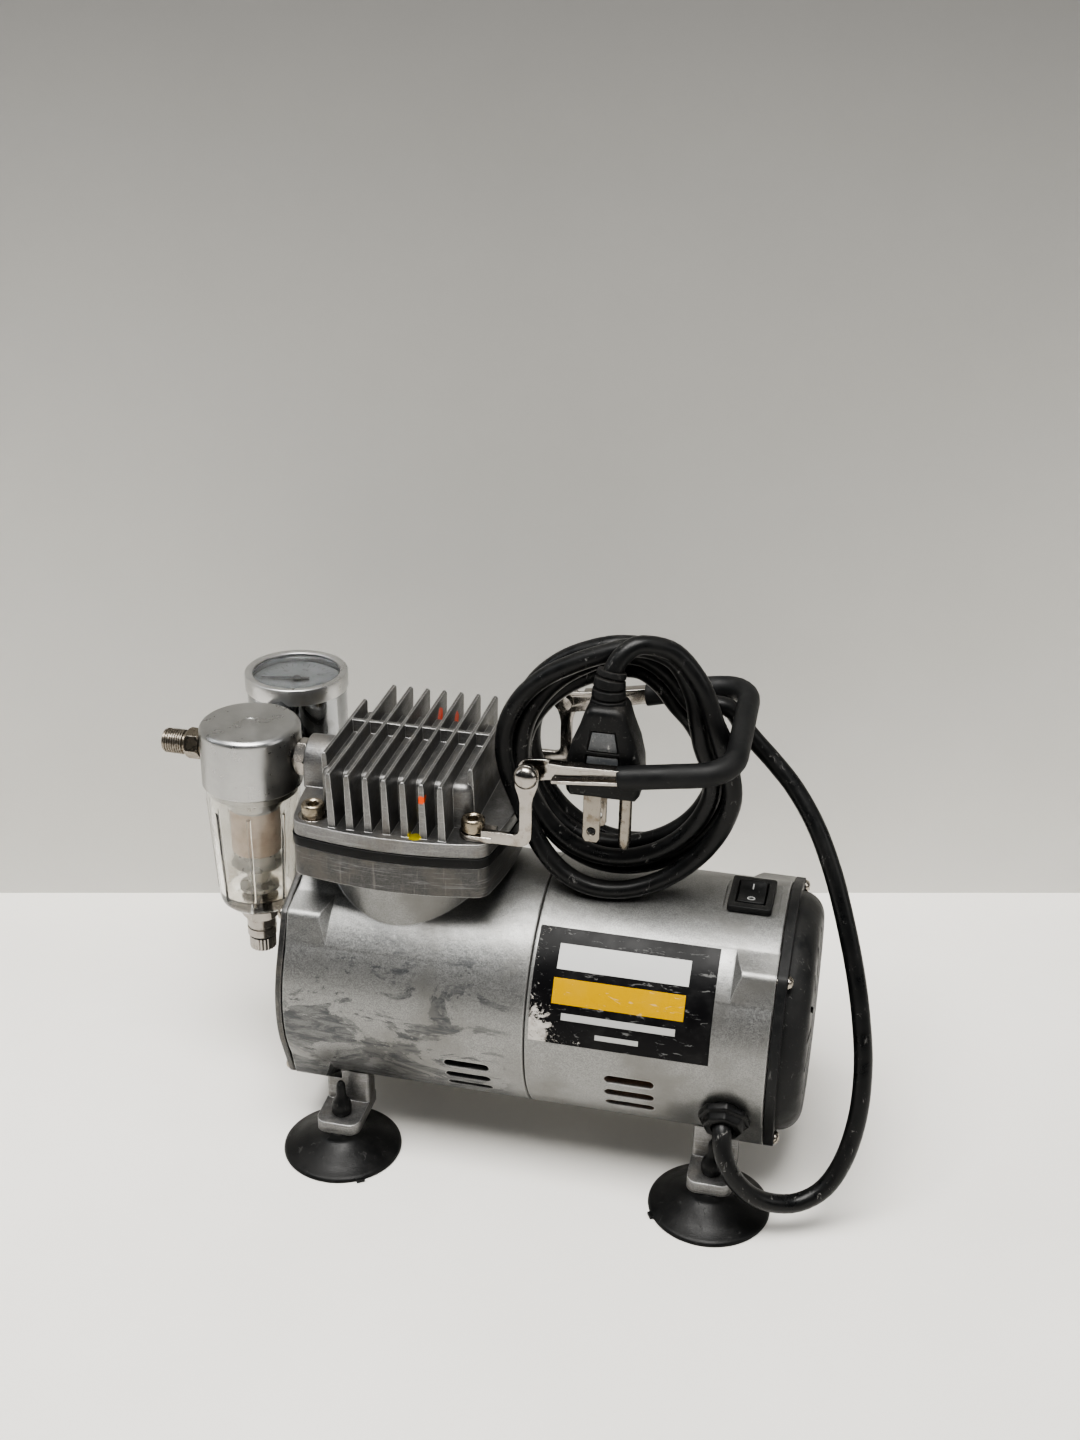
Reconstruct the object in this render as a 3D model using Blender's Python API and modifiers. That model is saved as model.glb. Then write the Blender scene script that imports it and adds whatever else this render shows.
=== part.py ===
"""Oil-free airbrush air compressor, modelled as its separate pieces.

Working frame: X runs along the motor shaft towards the fan end, Z is up and the
suction cups stand on Z = 0. Y = 0 is the shaft's vertical plane. One empty moves
the finished machine so that the world origin is the middle of its footprint.
"""
import math

import bmesh
import bpy
from mathutils import Matrix, Vector

MM = 0.001
GAP = 0.3 * MM                      # running and mating clearance between pieces

# Castings
BODY_RADIUS = 48.3 * MM
SHAFT_Z = 65.0 * MM
FRONT_X = -95.0 * MM                # outer face of the crankcase casting
SEAM_X = -1.0 * MM                  # joint between the two castings
REAR_X = 88.4 * MM                  # outer face of the motor casting
WALL = 3.5 * MM
CORNER_ANGLE = math.radians(22.5)   # half angle of each screw corner
CORNER_FILLET = 4.0 * MM
CORNER_LENGTH = 12.4 * MM           # full-height part of a screw corner, along X
CORNER_RAMP = 4.2 * MM
END_SCREW_HALF = 34.4 * MM          # end screws sit on a square of twice this
WEB_THICKNESS = 8.0 * MM            # wall that carries a ball bearing
BEARING_RADIUS = 11.0 * MM
SHAFT_RADIUS = 4.0 * MM
END_STEP = 0.1 * MM                 # the screw corners stand proud of the tube's end
BODY_SEGMENTS = 48

# Cylinder and head
HEAD_X = -55.0 * MM
NECK_RADIUS = 33.3 * MM             # round boss that carries the cylinder flange
FLANGE_BOTTOM = 119.0 * MM
FLANGE_TOP = 131.2 * MM
GASKET_TOP = 135.5 * MM
HEAD_PLATE_TOP = 141.0 * MM
FIN_TOP = 164.0 * MM
FIN_PITCH = 6.92 * MM
FIN_THICKNESS = 2.2 * MM
FIN_COUNT = 9
FIN_HALF_LENGTH = 39.5 * MM
OUTER_FIN_HALF_LENGTH = 24.0 * MM
HEAD_SCREW_HALF = 30.4 * MM
FLANGE_HALF = 37.5 * MM
FLANGE_BULGE = 3.5 * MM
BORE_RADIUS = 16.0 * MM
ECCENTRIC_RADIUS = 10.0 * MM
STROKE = 10.0 * MM

# Handle
PIVOT_X = -4.3 * MM
PIVOT_Z = 169.7 * MM
ARM_Y = 30.6 * MM
BAIL_LENGTH = 72.0 * MM             # pivot to the middle of the crossbar
BAIL_TILT = math.radians(9.3)       # folded handle rises towards its crossbar
BAIL_RADIUS = 2.2 * MM
GRIP_RADIUS = 3.9 * MM
GRIP_START = 32.0 * MM              # the sleeve begins this far along each arm
BRACKET_THICKNESS = 2.0 * MM
RIVET_RADIUS = 4.3 * MM

# Feet
FOOT_X = (-75.0 * MM, 70.6 * MM)
FOOT_Y = 41.8 * MM
CUP_RADIUS = 23.1 * MM
TAB_TOP = 16.0 * MM
TAB_THICKNESS = 4.8 * MM
LUG_HALF = 8.6 * MM                 # half width of a foot lug

# rocker switch and cord gland on the motor housing
SWITCH_X = 74.8 * MM
SWITCH_Y = -1.0 * MM
SWITCH_Z = 112.0 * MM
ROCKER_TILT = math.radians(7.0)     # at rest the front half is pressed: off
GLAND_X = 74.4 * MM
GLAND_ANGLE = math.radians(-22.5)   # the gland points out and down
GLAND_THREAD = 6.4 * MM

# Filter and gauge
FILTER_X = -121.2 * MM
CAP_RADIUS = 19.5 * MM
CAP_TOP = 160.7 * MM
CAP_BOTTOM = 135.5 * MM
BOWL_BOTTOM = 83.5 * MM
PORT_Z = 148.6 * MM
BOSS_X = -98.3 * MM                 # face of the head's outlet boss
OUTLET_X = -156.6 * MM              # tip of the outlet thread
PIPE_RADIUS = 4.85 * MM
PORT_RADIUS = 5.2 * MM
HEX_RADIUS = 7.2 * MM
ELEMENT_RADIUS = 10.0 * MM
VALVE_BOTTOM = 66.2 * MM            # lower end of the drain valve's barrel
GAUGE_Y = 51.5 * MM
GAUGE_RADIUS = 21.0 * MM
GAUGE_TOP = 160.4 * MM
NEEDLE_REST = 190.0                 # degrees, pointer at zero

# Cord
CORD_RADIUS = 3.5 * MM
COIL_X = 22.0 * MM
COIL_Z = 160.8 * MM
COIL_RADIUS = 46.5 * MM
COIL_WIDTH = 16.5 * MM              # radial thickness of the wound bundle
COIL_Y = (-9.5 * MM, 16.5 * MM)
COIL_SWEEP = 67.5 * MM              # the crossbar passes this far from its pivot
PLUG_X = 21.0 * MM
PLUG_Y = -18.0 * MM
PLUG_THICKNESS = 16.4 * MM
PLUG_BOTTOM = 159.0 * MM

# Middle of the machine's footprint in the working frame
FOOTPRINT_X = -27.5 * MM
FOOTPRINT_Y = 3.8 * MM

ALONG_X = (0.0, math.radians(90.0), 0.0)      # local Z becomes +X
ALONG_MINUS_Y = (math.radians(90.0), 0.0, 0.0)  # local Z becomes -Y
FACING_X = (math.radians(90.0), 0.0, math.radians(90.0))  # outline in YZ, depth +X
FACING_Y = (math.radians(90.0), 0.0, 0.0)     # outline in XZ, depth -Y


# ---------------------------------------------------------------- scene helpers

def clear_scene():
    for item in list(bpy.data.objects):
        bpy.data.objects.remove(item, do_unlink=True)


def new_collection(name):
    collection = bpy.data.collections.new(name)
    bpy.context.scene.collection.children.link(collection)
    return collection


clear_scene()
PARTS = new_collection("air_compressor")
CUTTERS = new_collection("cutters")
FOOTPRINT = bpy.data.objects.new("footprint", None)
FOOTPRINT.location = (-FOOTPRINT_X, -FOOTPRINT_Y, 0.0)
PARTS.objects.link(FOOTPRINT)


def make_material(name, colour, roughness, metallic, alpha=1.0):
    material = bpy.data.materials.new(name)
    material.use_nodes = True
    shader = material.node_tree.nodes["Principled BSDF"]
    shader.inputs["Base Color"].default_value = (*colour, 1.0)
    shader.inputs["Roughness"].default_value = roughness
    shader.inputs["Metallic"].default_value = metallic
    shader.inputs["Alpha"].default_value = alpha
    return material


SILVER = make_material("silver_paint", (0.56, 0.56, 0.54), 0.42, 0.75)
CAST = make_material("raw_aluminium", (0.60, 0.59, 0.57), 0.48, 0.95)
TURNED = make_material("turned_aluminium", (0.74, 0.74, 0.73), 0.25, 1.0)
NICKEL = make_material("nickel_plate", (0.70, 0.66, 0.60), 0.22, 1.0)
CHROME = make_material("chrome", (0.80, 0.80, 0.80), 0.08, 1.0)
BRASS = make_material("nickelled_brass", (0.55, 0.47, 0.34), 0.32, 1.0)
STEEL = make_material("steel", (0.50, 0.49, 0.47), 0.35, 1.0)
BLACK = make_material("black_plastic", (0.015, 0.016, 0.018), 0.45, 0.0)
RUBBER = make_material("black_rubber", (0.02, 0.021, 0.023), 0.50, 0.0)
CLEAR = make_material("clear_plastic", (0.80, 0.80, 0.78), 0.12, 0.0, 0.35)
FELT = make_material("filter_felt", (0.42, 0.33, 0.25), 0.90, 0.0)
DIAL = make_material("dial_face", (0.55, 0.56, 0.56), 0.55, 0.0)
COPPER = make_material("copper_winding", (0.60, 0.28, 0.12), 0.40, 0.9)


def place(item, collection, location=(0, 0, 0), rotation=(0, 0, 0)):
    item.location = location
    item.rotation_euler = rotation
    item.parent = FOOTPRINT
    collection.objects.link(item)
    if collection is CUTTERS:
        item.hide_render = True
        item.display_type = 'WIRE'
    return item


def mesh_object(name, shape, material, collection, location, rotation, smooth=True):
    mesh = bpy.data.meshes.new(name)
    shape.to_mesh(mesh)
    shape.free()
    if smooth:
        mesh.shade_smooth()
        mesh.set_sharp_from_angle(angle=math.radians(35.0))
    mesh.materials.append(material)
    return place(bpy.data.objects.new(name, mesh), collection, location, rotation)


def cylinder(name, radius, length, material=SILVER, location=(0, 0, 0), rotation=(0, 0, 0),
             segments=32, tip_radius=None, collection=PARTS):
    """Solid round bar from its base at location, along its local Z."""
    shape = bmesh.new()
    top = radius if tip_radius is None else tip_radius
    bmesh.ops.create_cone(shape, cap_ends=True, segments=segments, radius1=radius,
                          radius2=top, depth=length)
    bmesh.ops.translate(shape, verts=shape.verts, vec=(0.0, 0.0, length / 2.0))
    return mesh_object(name, shape, material, collection, location, rotation)


def block(name, low, high, material=SILVER, edge=0.0, collection=PARTS):
    """Rectangular solid between two corners, with an optional edge bevel."""
    low, high = Vector(low), Vector(high)
    size = high - low
    shape = bmesh.new()
    bmesh.ops.create_cube(shape, size=1.0)
    bmesh.ops.scale(shape, verts=shape.verts, vec=size)
    if edge > 0.0:
        bmesh.ops.bevel(shape, geom=shape.edges[:], offset=edge, segments=2,
                        affect='EDGES', profile=0.5)
    return mesh_object(name, shape, material, collection, (low + high) / 2.0, (0, 0, 0))


def turned(name, profile, material=SILVER, location=(0, 0, 0), rotation=(0, 0, 0),
           segments=48, collection=PARTS):
    """Solid of revolution: profile is (radius, height) pairs down the outer side."""
    shape = bmesh.new()
    corners = [shape.verts.new((radius, 0.0, height)) for radius, height in profile]
    for start, end in zip(corners, corners[1:]):
        shape.edges.new((start, end))
    if profile[0][0] > 0.0:
        shape.edges.new((corners[-1], corners[0]))
    item = mesh_object(name, shape, material, collection, location, rotation, smooth=False)
    screw = item.modifiers.new("turn", 'SCREW')
    screw.angle = math.radians(360.0)
    screw.steps = segments
    screw.render_steps = segments
    screw.use_merge_vertices = True
    screw.merge_threshold = 0.00001
    screw.use_smooth_shade = True
    return item


def baked(item, collection):
    """Replace a curve object by the closed mesh that it evaluates to."""
    bpy.context.view_layer.update()
    graph = bpy.context.evaluated_depsgraph_get()
    mesh = bpy.data.meshes.new_from_object(item.evaluated_get(graph))
    shape = bmesh.new()
    shape.from_mesh(mesh)
    bmesh.ops.remove_doubles(shape, verts=shape.verts, dist=0.000005)
    shape.to_mesh(mesh)
    shape.free()
    name = item.name
    location, rotation = item.location.copy(), item.rotation_euler.copy()
    bpy.data.objects.remove(item, do_unlink=True)
    mesh.shade_smooth()
    mesh.set_sharp_from_angle(angle=math.radians(35.0))
    return place(bpy.data.objects.new(name, mesh), collection, location, rotation)


def plate(name, outlines, depth, material=SILVER, location=(0, 0, 0), rotation=(0, 0, 0),
          collection=PARTS):
    """Flat outline (with any holes) extruded from local Z = 0 to depth."""
    curve = bpy.data.curves.new(name, 'CURVE')
    curve.dimensions = '2D'
    curve.fill_mode = 'BOTH'
    curve.extrude = depth / 2.0
    for outline in outlines:
        spline = curve.splines.new('POLY')
        spline.points.add(len(outline) - 1)
        for point, (across, up) in zip(spline.points, outline):
            point.co = (across, up, 0.0, 1.0)
        spline.use_cyclic_u = True
    curve.materials.append(material)
    item = place(bpy.data.objects.new(name, curve), collection, location, rotation)
    item = baked(item, collection)
    item.data.transform(lift(depth / 2.0))
    return item


def lift(height):
    return Matrix.Translation((0.0, 0.0, height))


def tube(name, points, radius, material=BLACK, resolution=2, collection=PARTS, solid=False):
    """Round bar or cord through a list of points."""
    curve = bpy.data.curves.new(name, 'CURVE')
    curve.dimensions = '3D'
    curve.bevel_depth = radius
    curve.bevel_resolution = resolution
    curve.use_fill_caps = True
    spline = curve.splines.new('POLY')
    spline.points.add(len(points) - 1)
    for point, place_of in zip(spline.points, points):
        point.co = (*place_of, 1.0)
    curve.materials.append(material)
    item = place(bpy.data.objects.new(name, curve), collection)
    return baked(item, collection) if solid else item


def boolean(item, other, operation):
    step = item.modifiers.new(operation.lower(), 'BOOLEAN')
    step.operation = operation
    step.solver = 'EXACT'
    step.object = other
    return item


def cut(item, *others):
    for other in others:
        boolean(item, other, 'DIFFERENCE')
    return item


def add(item, *others):
    for other in others:
        boolean(item, other, 'UNION')
    return item


# ---------------------------------------------------------------- outlines

def arc(centre, radius, start, end, steps):
    """Points on a circle from start to end degrees, both included."""
    points = []
    for index in range(steps + 1):
        angle = math.radians(start + (end - start) * index / steps)
        points.append((centre[0] + radius * math.cos(angle),
                       centre[1] + radius * math.sin(angle)))
    return points


def corner_outline(radius):
    """Circle with four screw corners whose flat sides are tangents to it."""
    reach = (radius - CORNER_FILLET) / math.cos(CORNER_ANGLE)
    half_turn = math.degrees(CORNER_ANGLE)
    points = []
    for quarter in range(4):
        middle = 45.0 + 90.0 * quarter
        direction = math.radians(middle)
        centre = (reach * math.cos(direction), reach * math.sin(direction))
        points += arc((0, 0), radius, middle - 45.0, middle - half_turn, 3)
        points += arc(centre, CORNER_FILLET, middle - half_turn, middle + half_turn, 3)
        points += arc((0, 0), radius, middle + half_turn, middle + 37.5, 2)
    return points


def buried_corner_outline(radius):
    """The four corners alone, each running down into the wall between them."""
    reach = (radius - CORNER_FILLET) / math.cos(CORNER_ANGLE)
    half_turn = math.degrees(CORNER_ANGLE)
    points = []
    for quarter in range(4):
        middle = 45.0 + 90.0 * quarter
        direction = math.radians(middle)
        centre = (reach * math.cos(direction), reach * math.sin(direction))
        points += arc((0, 0), radius - 1.6 * MM, middle - 45.0, middle - 31.0, 2)
        points += arc(centre, CORNER_FILLET, middle - half_turn, middle + half_turn, 3)
        points += arc((0, 0), radius - 1.6 * MM, middle + 31.0, middle + 38.0, 1)
    return points


def barrel_square(half, bulge, fillet):
    """Rounded square whose four sides bow outwards by bulge."""
    points = []
    for quarter in range(4):
        turn = math.radians(90.0 * quarter)
        side = [(half + bulge * (1.0 - step * step), (half - fillet) * step)
                for step in (-0.9, -0.6, -0.3, 0.0, 0.3, 0.6, 0.9)]
        side += arc((half - fillet, half - fillet), fillet, 0.0, 90.0, 3)
        points += [(math.cos(turn) * x - math.sin(turn) * y,
                    math.sin(turn) * x + math.cos(turn) * y) for x, y in side]
    return points


def rounded_box_outline(low, high, fillet, steps=3):
    corners = (((high[0] - fillet, high[1] - fillet), 0.0),
               ((low[0] + fillet, high[1] - fillet), 90.0),
               ((low[0] + fillet, low[1] + fillet), 180.0),
               ((high[0] - fillet, low[1] + fillet), 270.0))
    points = []
    for centre, start in corners:
        points += arc(centre, fillet, start, start + 90.0, steps)
    return points


def circle(radius, segments=16):
    """Regular polygon whose first corner is a little off the axis."""
    start = 72.0 / segments
    return arc((0.0, 0.0), radius, start, start + 360.0 - 360.0 / segments, segments - 1)


def smooth_route(controls, spacing):
    """Points along a Catmull-Rom curve through the controls, evenly enough spaced."""
    points = [Vector(control) for control in controls]
    ends = [points[0] * 2 - points[1]] + points + [points[-1] * 2 - points[-2]]
    route = []
    for before, start, end, after in zip(ends, ends[1:], ends[2:], ends[3:]):
        steps = max(1, round((end - start).length / spacing))
        for index in range(steps):
            t = index / steps
            route.append(0.5 * (2 * start + (end - before) * t
                                + (2 * before - 5 * start + 4 * end - after) * t ** 2
                                + (3 * start - before - 3 * end + after) * t ** 3))
    route.append(points[-1])
    return route


# ---------------------------------------------------------------- castings

def screw_corners(name, face, direction):
    """Ring with the four screw corners of one end; its inner part lies in the wall."""
    length = CORNER_LENGTH + CORNER_RAMP + MM
    start = face if direction > 0 else face - length
    ring = plate(name, [buried_corner_outline(BODY_RADIUS), circle(BODY_RADIUS - 2.4 * MM, 40)],
                 length, SILVER, (start, 0.0, SHAFT_Z), FACING_X, CUTTERS)
    outer = BODY_RADIUS + 8.3 * MM
    inner = BODY_RADIUS - 1.0 * MM
    profile = [(0.0, 0.0), (inner, 0.0), (outer, -2.0 * CORNER_RAMP), (outer, -length - 8.0 * MM),
               (0.0, -length - 8.0 * MM)]
    end = face + direction * (CORNER_LENGTH + CORNER_RAMP)
    if direction < 0:
        profile = [(radius, -height) for radius, height in reversed(profile)]
    boolean(ring, turned(name + "_ramp", profile, SILVER, (end, 0.0, SHAFT_Z), ALONG_X, 48,
                         CUTTERS), 'INTERSECT')
    return ring


def vent_slots(item, name, start, end, angles):
    """Pill-shaped slots through the wall on both sides of a casting."""
    width = 3.2 * MM
    for side in (-1, 1):
        for number, degrees in enumerate(angles, 1):
            angle = math.radians(degrees)
            outline = rounded_box_outline((start, -width / 2), (end, width / 2), width * 0.499, 2)
            slot = plate(f"{name}_slot_{'r' if side > 0 else 'f'}{number}", [outline],
                         14.0 * MM, SILVER, collection=CUTTERS)
            slot.location = (0.0, side * math.cos(angle) * (BODY_RADIUS - 10.0 * MM),
                             SHAFT_Z + math.sin(angle) * (BODY_RADIUS - 10.0 * MM))
            slot.rotation_euler = (-side * (math.radians(90.0) - angle), 0.0, 0.0)
            cut(item, slot)


def screw_holes(item, name, start, length, radius):
    for number, (side, up) in enumerate(corner_signs(), 1):
        cut(item, cylinder(f"{name}_hole_{number}", radius, length, SILVER,
                           (start, side * END_SCREW_HALF, SHAFT_Z + up * END_SCREW_HALF),
                           ALONG_X, 12, None, CUTTERS))


def corner_signs():
    return ((-1, 1), (-1, -1), (1, 1), (1, -1))


def crankcase_front():
    inner = BODY_RADIUS - WALL
    web = -26.0 * MM
    seat = BEARING_RADIUS + GAP
    seam = SEAM_X - GAP / 2
    item = turned("crankcase_front", [
        (BODY_RADIUS, seam), (BODY_RADIUS, FRONT_X + END_STEP), (inner, FRONT_X + END_STEP), (inner, web),
        (seat, web), (seat, web + WEB_THICKNESS), (inner, web + WEB_THICKNESS), (inner, seam)],
        SILVER, (0.0, 0.0, SHAFT_Z), ALONG_X, BODY_SEGMENTS)
    corners = screw_corners("front_corners", FRONT_X, 1)
    neck = cylinder("neck", NECK_RADIUS, FLANGE_BOTTOM - GAP - 98.0 * MM, SILVER,
                    (HEAD_X, 0.0, 98.0 * MM), (0, 0, 0), 40, None, CUTTERS)
    neck_bore = cylinder("neck_bore", BORE_RADIUS + 2.0 * MM, 40.0 * MM, SILVER,
                         (HEAD_X, 0.0, 88.0 * MM), (0, 0, 0), 32, None, CUTTERS)
    add(item, corners, neck)
    cut(item, neck_bore)
    vent_slots(item, "front", -32.0 * MM, -14.5 * MM, (-16.5, -25.0, -33.5))
    screw_holes(item, "crankcase", FRONT_X - MM, 11.0 * MM, 1.5 * MM)


def motor_housing_rear():
    inner = BODY_RADIUS - WALL
    web = 60.0 * MM
    seat = BEARING_RADIUS + GAP
    seam = SEAM_X + GAP / 2
    item = turned("motor_housing_rear", [
        (BODY_RADIUS, REAR_X - END_STEP), (BODY_RADIUS, seam), (inner, seam), (inner, web),
        (seat, web), (seat, web + WEB_THICKNESS), (inner, web + WEB_THICKNESS),
        (inner, REAR_X - END_STEP)], SILVER, (0.0, 0.0, SHAFT_Z), ALONG_X, BODY_SEGMENTS)
    corners = screw_corners("rear_corners", REAR_X, -1)
    add(item, corners)
    vent_slots(item, "rear", 29.5 * MM, 48.0 * MM, (-11.5, -20.5, -29.5))
    screw_holes(item, "housing", REAR_X - 10.0 * MM, 11.0 * MM, 1.5 * MM)
    switch_pad = block("switch_pad", (65.0 * MM, -13.5 * MM, 112.0 * MM),
                       (85.0 * MM, 11.5 * MM, 120.0 * MM), collection=CUTTERS)
    switch_hole = block("switch_hole", (SWITCH_X - 6.5 * MM, SWITCH_Y - 9.5 * MM, 100.0 * MM),
                        (SWITCH_X + 6.5 * MM, SWITCH_Y + 9.5 * MM, 120.0 * MM), collection=CUTTERS)
    cut(item, switch_pad, switch_hole)
    cut(item, gland_shape("gland_hole", GLAND_THREAD + GAP, -12.0 * MM, 12.0 * MM))


def front_plate():
    item = plate("front_plate", [corner_outline(BODY_RADIUS - 0.2 * MM)], 2.4 * MM, SILVER,
                 (FRONT_X - GAP - 2.4 * MM, 0.0, SHAFT_Z), FACING_X)
    screw_holes(item, "plate", FRONT_X - 4.0 * MM, 5.0 * MM, 1.8 * MM)


def end_screws(name, face, outward):
    """Pan-head screws at the four corners of an end."""
    head, shank = 2.7 * MM, 1.3 * MM
    for number, (side, up) in enumerate(corner_signs(), 1):
        turned(f"{name}_{number}", [
            (0.0, 1.9 * MM), (1.6 * MM, 1.6 * MM), (head, GAP), (shank, GAP),
            (shank, -8.0 * MM), (0.0, -8.6 * MM)], NICKEL,
            (face, side * END_SCREW_HALF, SHAFT_Z + up * END_SCREW_HALF),
            (0.0, outward * math.radians(90.0), 0.0), 12)


def rear_cover():
    """Black fan cover: square-cornered flange, domed drum and radial air slots."""
    base = REAR_X + GAP
    flange = 3.6 * MM
    outer = 45.4 * MM
    inner = 43.3 * MM
    tip = 101.6 * MM
    item = plate("rear_cover", [corner_outline(BODY_RADIUS), circle(inner + 1.0 * MM, 40)], flange, BLACK,
                 (base, 0.0, SHAFT_Z), FACING_X)
    dome = turned("cover_dome", [
        (0.0, tip), (36.0 * MM, tip), (43.0 * MM, tip - 2.6 * MM), (outer, tip - 7.0 * MM),
        (outer, base + 1.0 * MM), (inner, base + 1.0 * MM), (inner, tip - 7.6 * MM),
        (41.6 * MM, tip - 4.6 * MM), (35.4 * MM, tip - 2.4 * MM), (0.0, tip - 2.4 * MM)], BLACK,
        (0.0, 0.0, SHAFT_Z), ALONG_X, 48, CUTTERS)
    add(item, dome)
    count = 20
    for number in range(count):
        angle = 2.0 * math.pi * number / count
        slot = block(f"cover_slot_{number}", (-6.0 * MM, 21.0 * MM, -1.2 * MM),
                     (6.0 * MM, 49.0 * MM, 1.2 * MM), collection=CUTTERS)
        reach = 35.0 * MM
        slot.location = (tip, math.cos(angle) * reach, SHAFT_Z + math.sin(angle) * reach)
        slot.rotation_euler = (angle, 0.0, 0.0)
        cut(item, slot)
    screw_holes(item, "cover", base - MM, 6.0 * MM, 1.8 * MM)


# ---------------------------------------------------------------- motor internals

def bearings():
    for name, start in (("front_bearing", -26.0 * MM), ("rear_bearing", 60.0 * MM)):
        turned(name, [
            (BEARING_RADIUS, 7.0 * MM), (BEARING_RADIUS, 0.0), (SHAFT_RADIUS + GAP, 0.0),
            (SHAFT_RADIUS + GAP, 7.0 * MM)], STEEL,
            (start + 0.5 * MM, 0.0, SHAFT_Z), ALONG_X, 24)


def stator():
    turned("stator", [
        (44.4 * MM, 50.0 * MM), (44.4 * MM, 14.0 * MM), (38.0 * MM, 14.0 * MM),
        (36.0 * MM, 6.0 * MM), (26.5 * MM, 6.0 * MM), (24.8 * MM, 14.0 * MM),
        (24.8 * MM, 50.0 * MM), (26.5 * MM, 57.0 * MM), (36.0 * MM, 57.0 * MM),
        (38.0 * MM, 50.0 * MM)], COPPER, (0.0, 0.0, SHAFT_Z), ALONG_X, 28)


def rotor():
    turned("rotor", [
        (0.0, 88.0 * MM), (SHAFT_RADIUS, 88.0 * MM), (SHAFT_RADIUS, 50.0 * MM),
        (24.2 * MM, 50.0 * MM), (24.2 * MM, 14.0 * MM), (SHAFT_RADIUS, 14.0 * MM),
        (SHAFT_RADIUS, -62.0 * MM), (0.0, -62.0 * MM)], STEEL, (0.0, 0.0, SHAFT_Z), ALONG_X, 24)


def cooling_fan():
    start = 73.0 * MM
    length = 13.0 * MM
    blades = 6
    hub = cylinder("cooling_fan", 11.0 * MM, length, BLACK, (start, 0.0, SHAFT_Z), ALONG_X, 24)
    for number in range(blades):
        angle = 2.0 * math.pi * number / blades
        blade = block(f"fan_blade_{number}", (-1.0 * MM, -13.5 * MM, -5.0 * MM),
                      (1.0 * MM, 13.5 * MM, 5.0 * MM), BLACK, collection=CUTTERS)
        reach = 22.5 * MM
        blade.location = (start + length / 2, math.cos(angle) * reach,
                          SHAFT_Z + math.sin(angle) * reach)
        blade.rotation_mode = 'YXZ'
        blade.rotation_euler = (angle, math.radians(50.0), 0.0)
        add(hub, blade)
    cut(hub, cylinder("fan_bore", SHAFT_RADIUS + GAP, 30.0 * MM, BLACK,
                      (start - 5.0 * MM, 0.0, SHAFT_Z), ALONG_X, 24, None, CUTTERS))


def crank_eccentric():
    item = cylinder("crank_eccentric", ECCENTRIC_RADIUS, 8.0 * MM, STEEL,
                    (HEAD_X - 4.0 * MM, STROKE / 2, SHAFT_Z), ALONG_X, 32)
    cut(item, cylinder("eccentric_bore", SHAFT_RADIUS + GAP, 30.0 * MM, STEEL,
                       (HEAD_X - 15.0 * MM, 0.0, SHAFT_Z), ALONG_X, 24, None, CUTTERS))


def piston_rod():
    """Rod and piston in one piece; the big end is opened to clear the eccentric."""
    clear = ECCENTRIC_RADIUS + STROKE + 2 * GAP
    item = plate("piston_rod", [circle(clear + 3.4 * MM, 28), circle(clear, 28)], 6.0 * MM, CAST,
                 (HEAD_X - 3.0 * MM, 0.0, SHAFT_Z), FACING_X)
    shank = block("rod_shank", (HEAD_X - 3.0 * MM, -4.0 * MM, SHAFT_Z + clear + 1.0 * MM),
                  (HEAD_X + 3.0 * MM, 4.0 * MM, 117.0 * MM), CAST, 0.8 * MM, CUTTERS)
    crown = turned("piston_crown", [
        (0.0, 125.0 * MM), (BORE_RADIUS - GAP, 125.0 * MM), (BORE_RADIUS - GAP, 120.0 * MM),
        (11.0 * MM, 116.0 * MM), (0.0, 116.0 * MM)], CAST, (HEAD_X, 0.0, 0.0), (0, 0, 0), 32, CUTTERS)
    add(item, shank, crown)


# ---------------------------------------------------------------- cylinder and head

def head_holes(item, name, bottom, top, radius):
    for number, (side, back) in enumerate(corner_signs(), 1):
        cut(item, cylinder(f"{name}_bolt_{number}", radius, top - bottom, SILVER,
                           (HEAD_X + side * HEAD_SCREW_HALF, back * HEAD_SCREW_HALF, bottom),
                           (0, 0, 0), 12, None, CUTTERS))


def cylinder_block():
    """Square flange with the bore liner that hangs into the crankcase neck."""
    item = plate("cylinder_block", [barrel_square(FLANGE_HALF, FLANGE_BULGE, 6.0 * MM)],
                 FLANGE_TOP - FLANGE_BOTTOM, CAST, (HEAD_X, 0.0, FLANGE_BOTTOM))
    add(item, cylinder("liner", BORE_RADIUS + 1.6 * MM, 17.0 * MM, CAST, (HEAD_X, 0.0, 104.0 * MM),
                       (0, 0, 0), 32, None, CUTTERS))
    cut(item, cylinder("bore", BORE_RADIUS, 40.0 * MM, CAST, (HEAD_X, 0.0, 100.0 * MM),
                       (0, 0, math.radians(3.0)), 32, None, CUTTERS))
    head_holes(item, "block", FLANGE_BOTTOM + 2.0 * MM, FLANGE_TOP + MM, 2.6 * MM)


def head_gasket():
    item = plate("head_gasket", [barrel_square(FLANGE_HALF + 0.3 * MM, FLANGE_BULGE, 6.0 * MM)],
                 GASKET_TOP - FLANGE_TOP - 2 * GAP, BLACK, (HEAD_X, 0.0, FLANGE_TOP + GAP))
    head_holes(item, "gasket", FLANGE_TOP - MM, GASKET_TOP + MM, 2.8 * MM)


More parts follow.
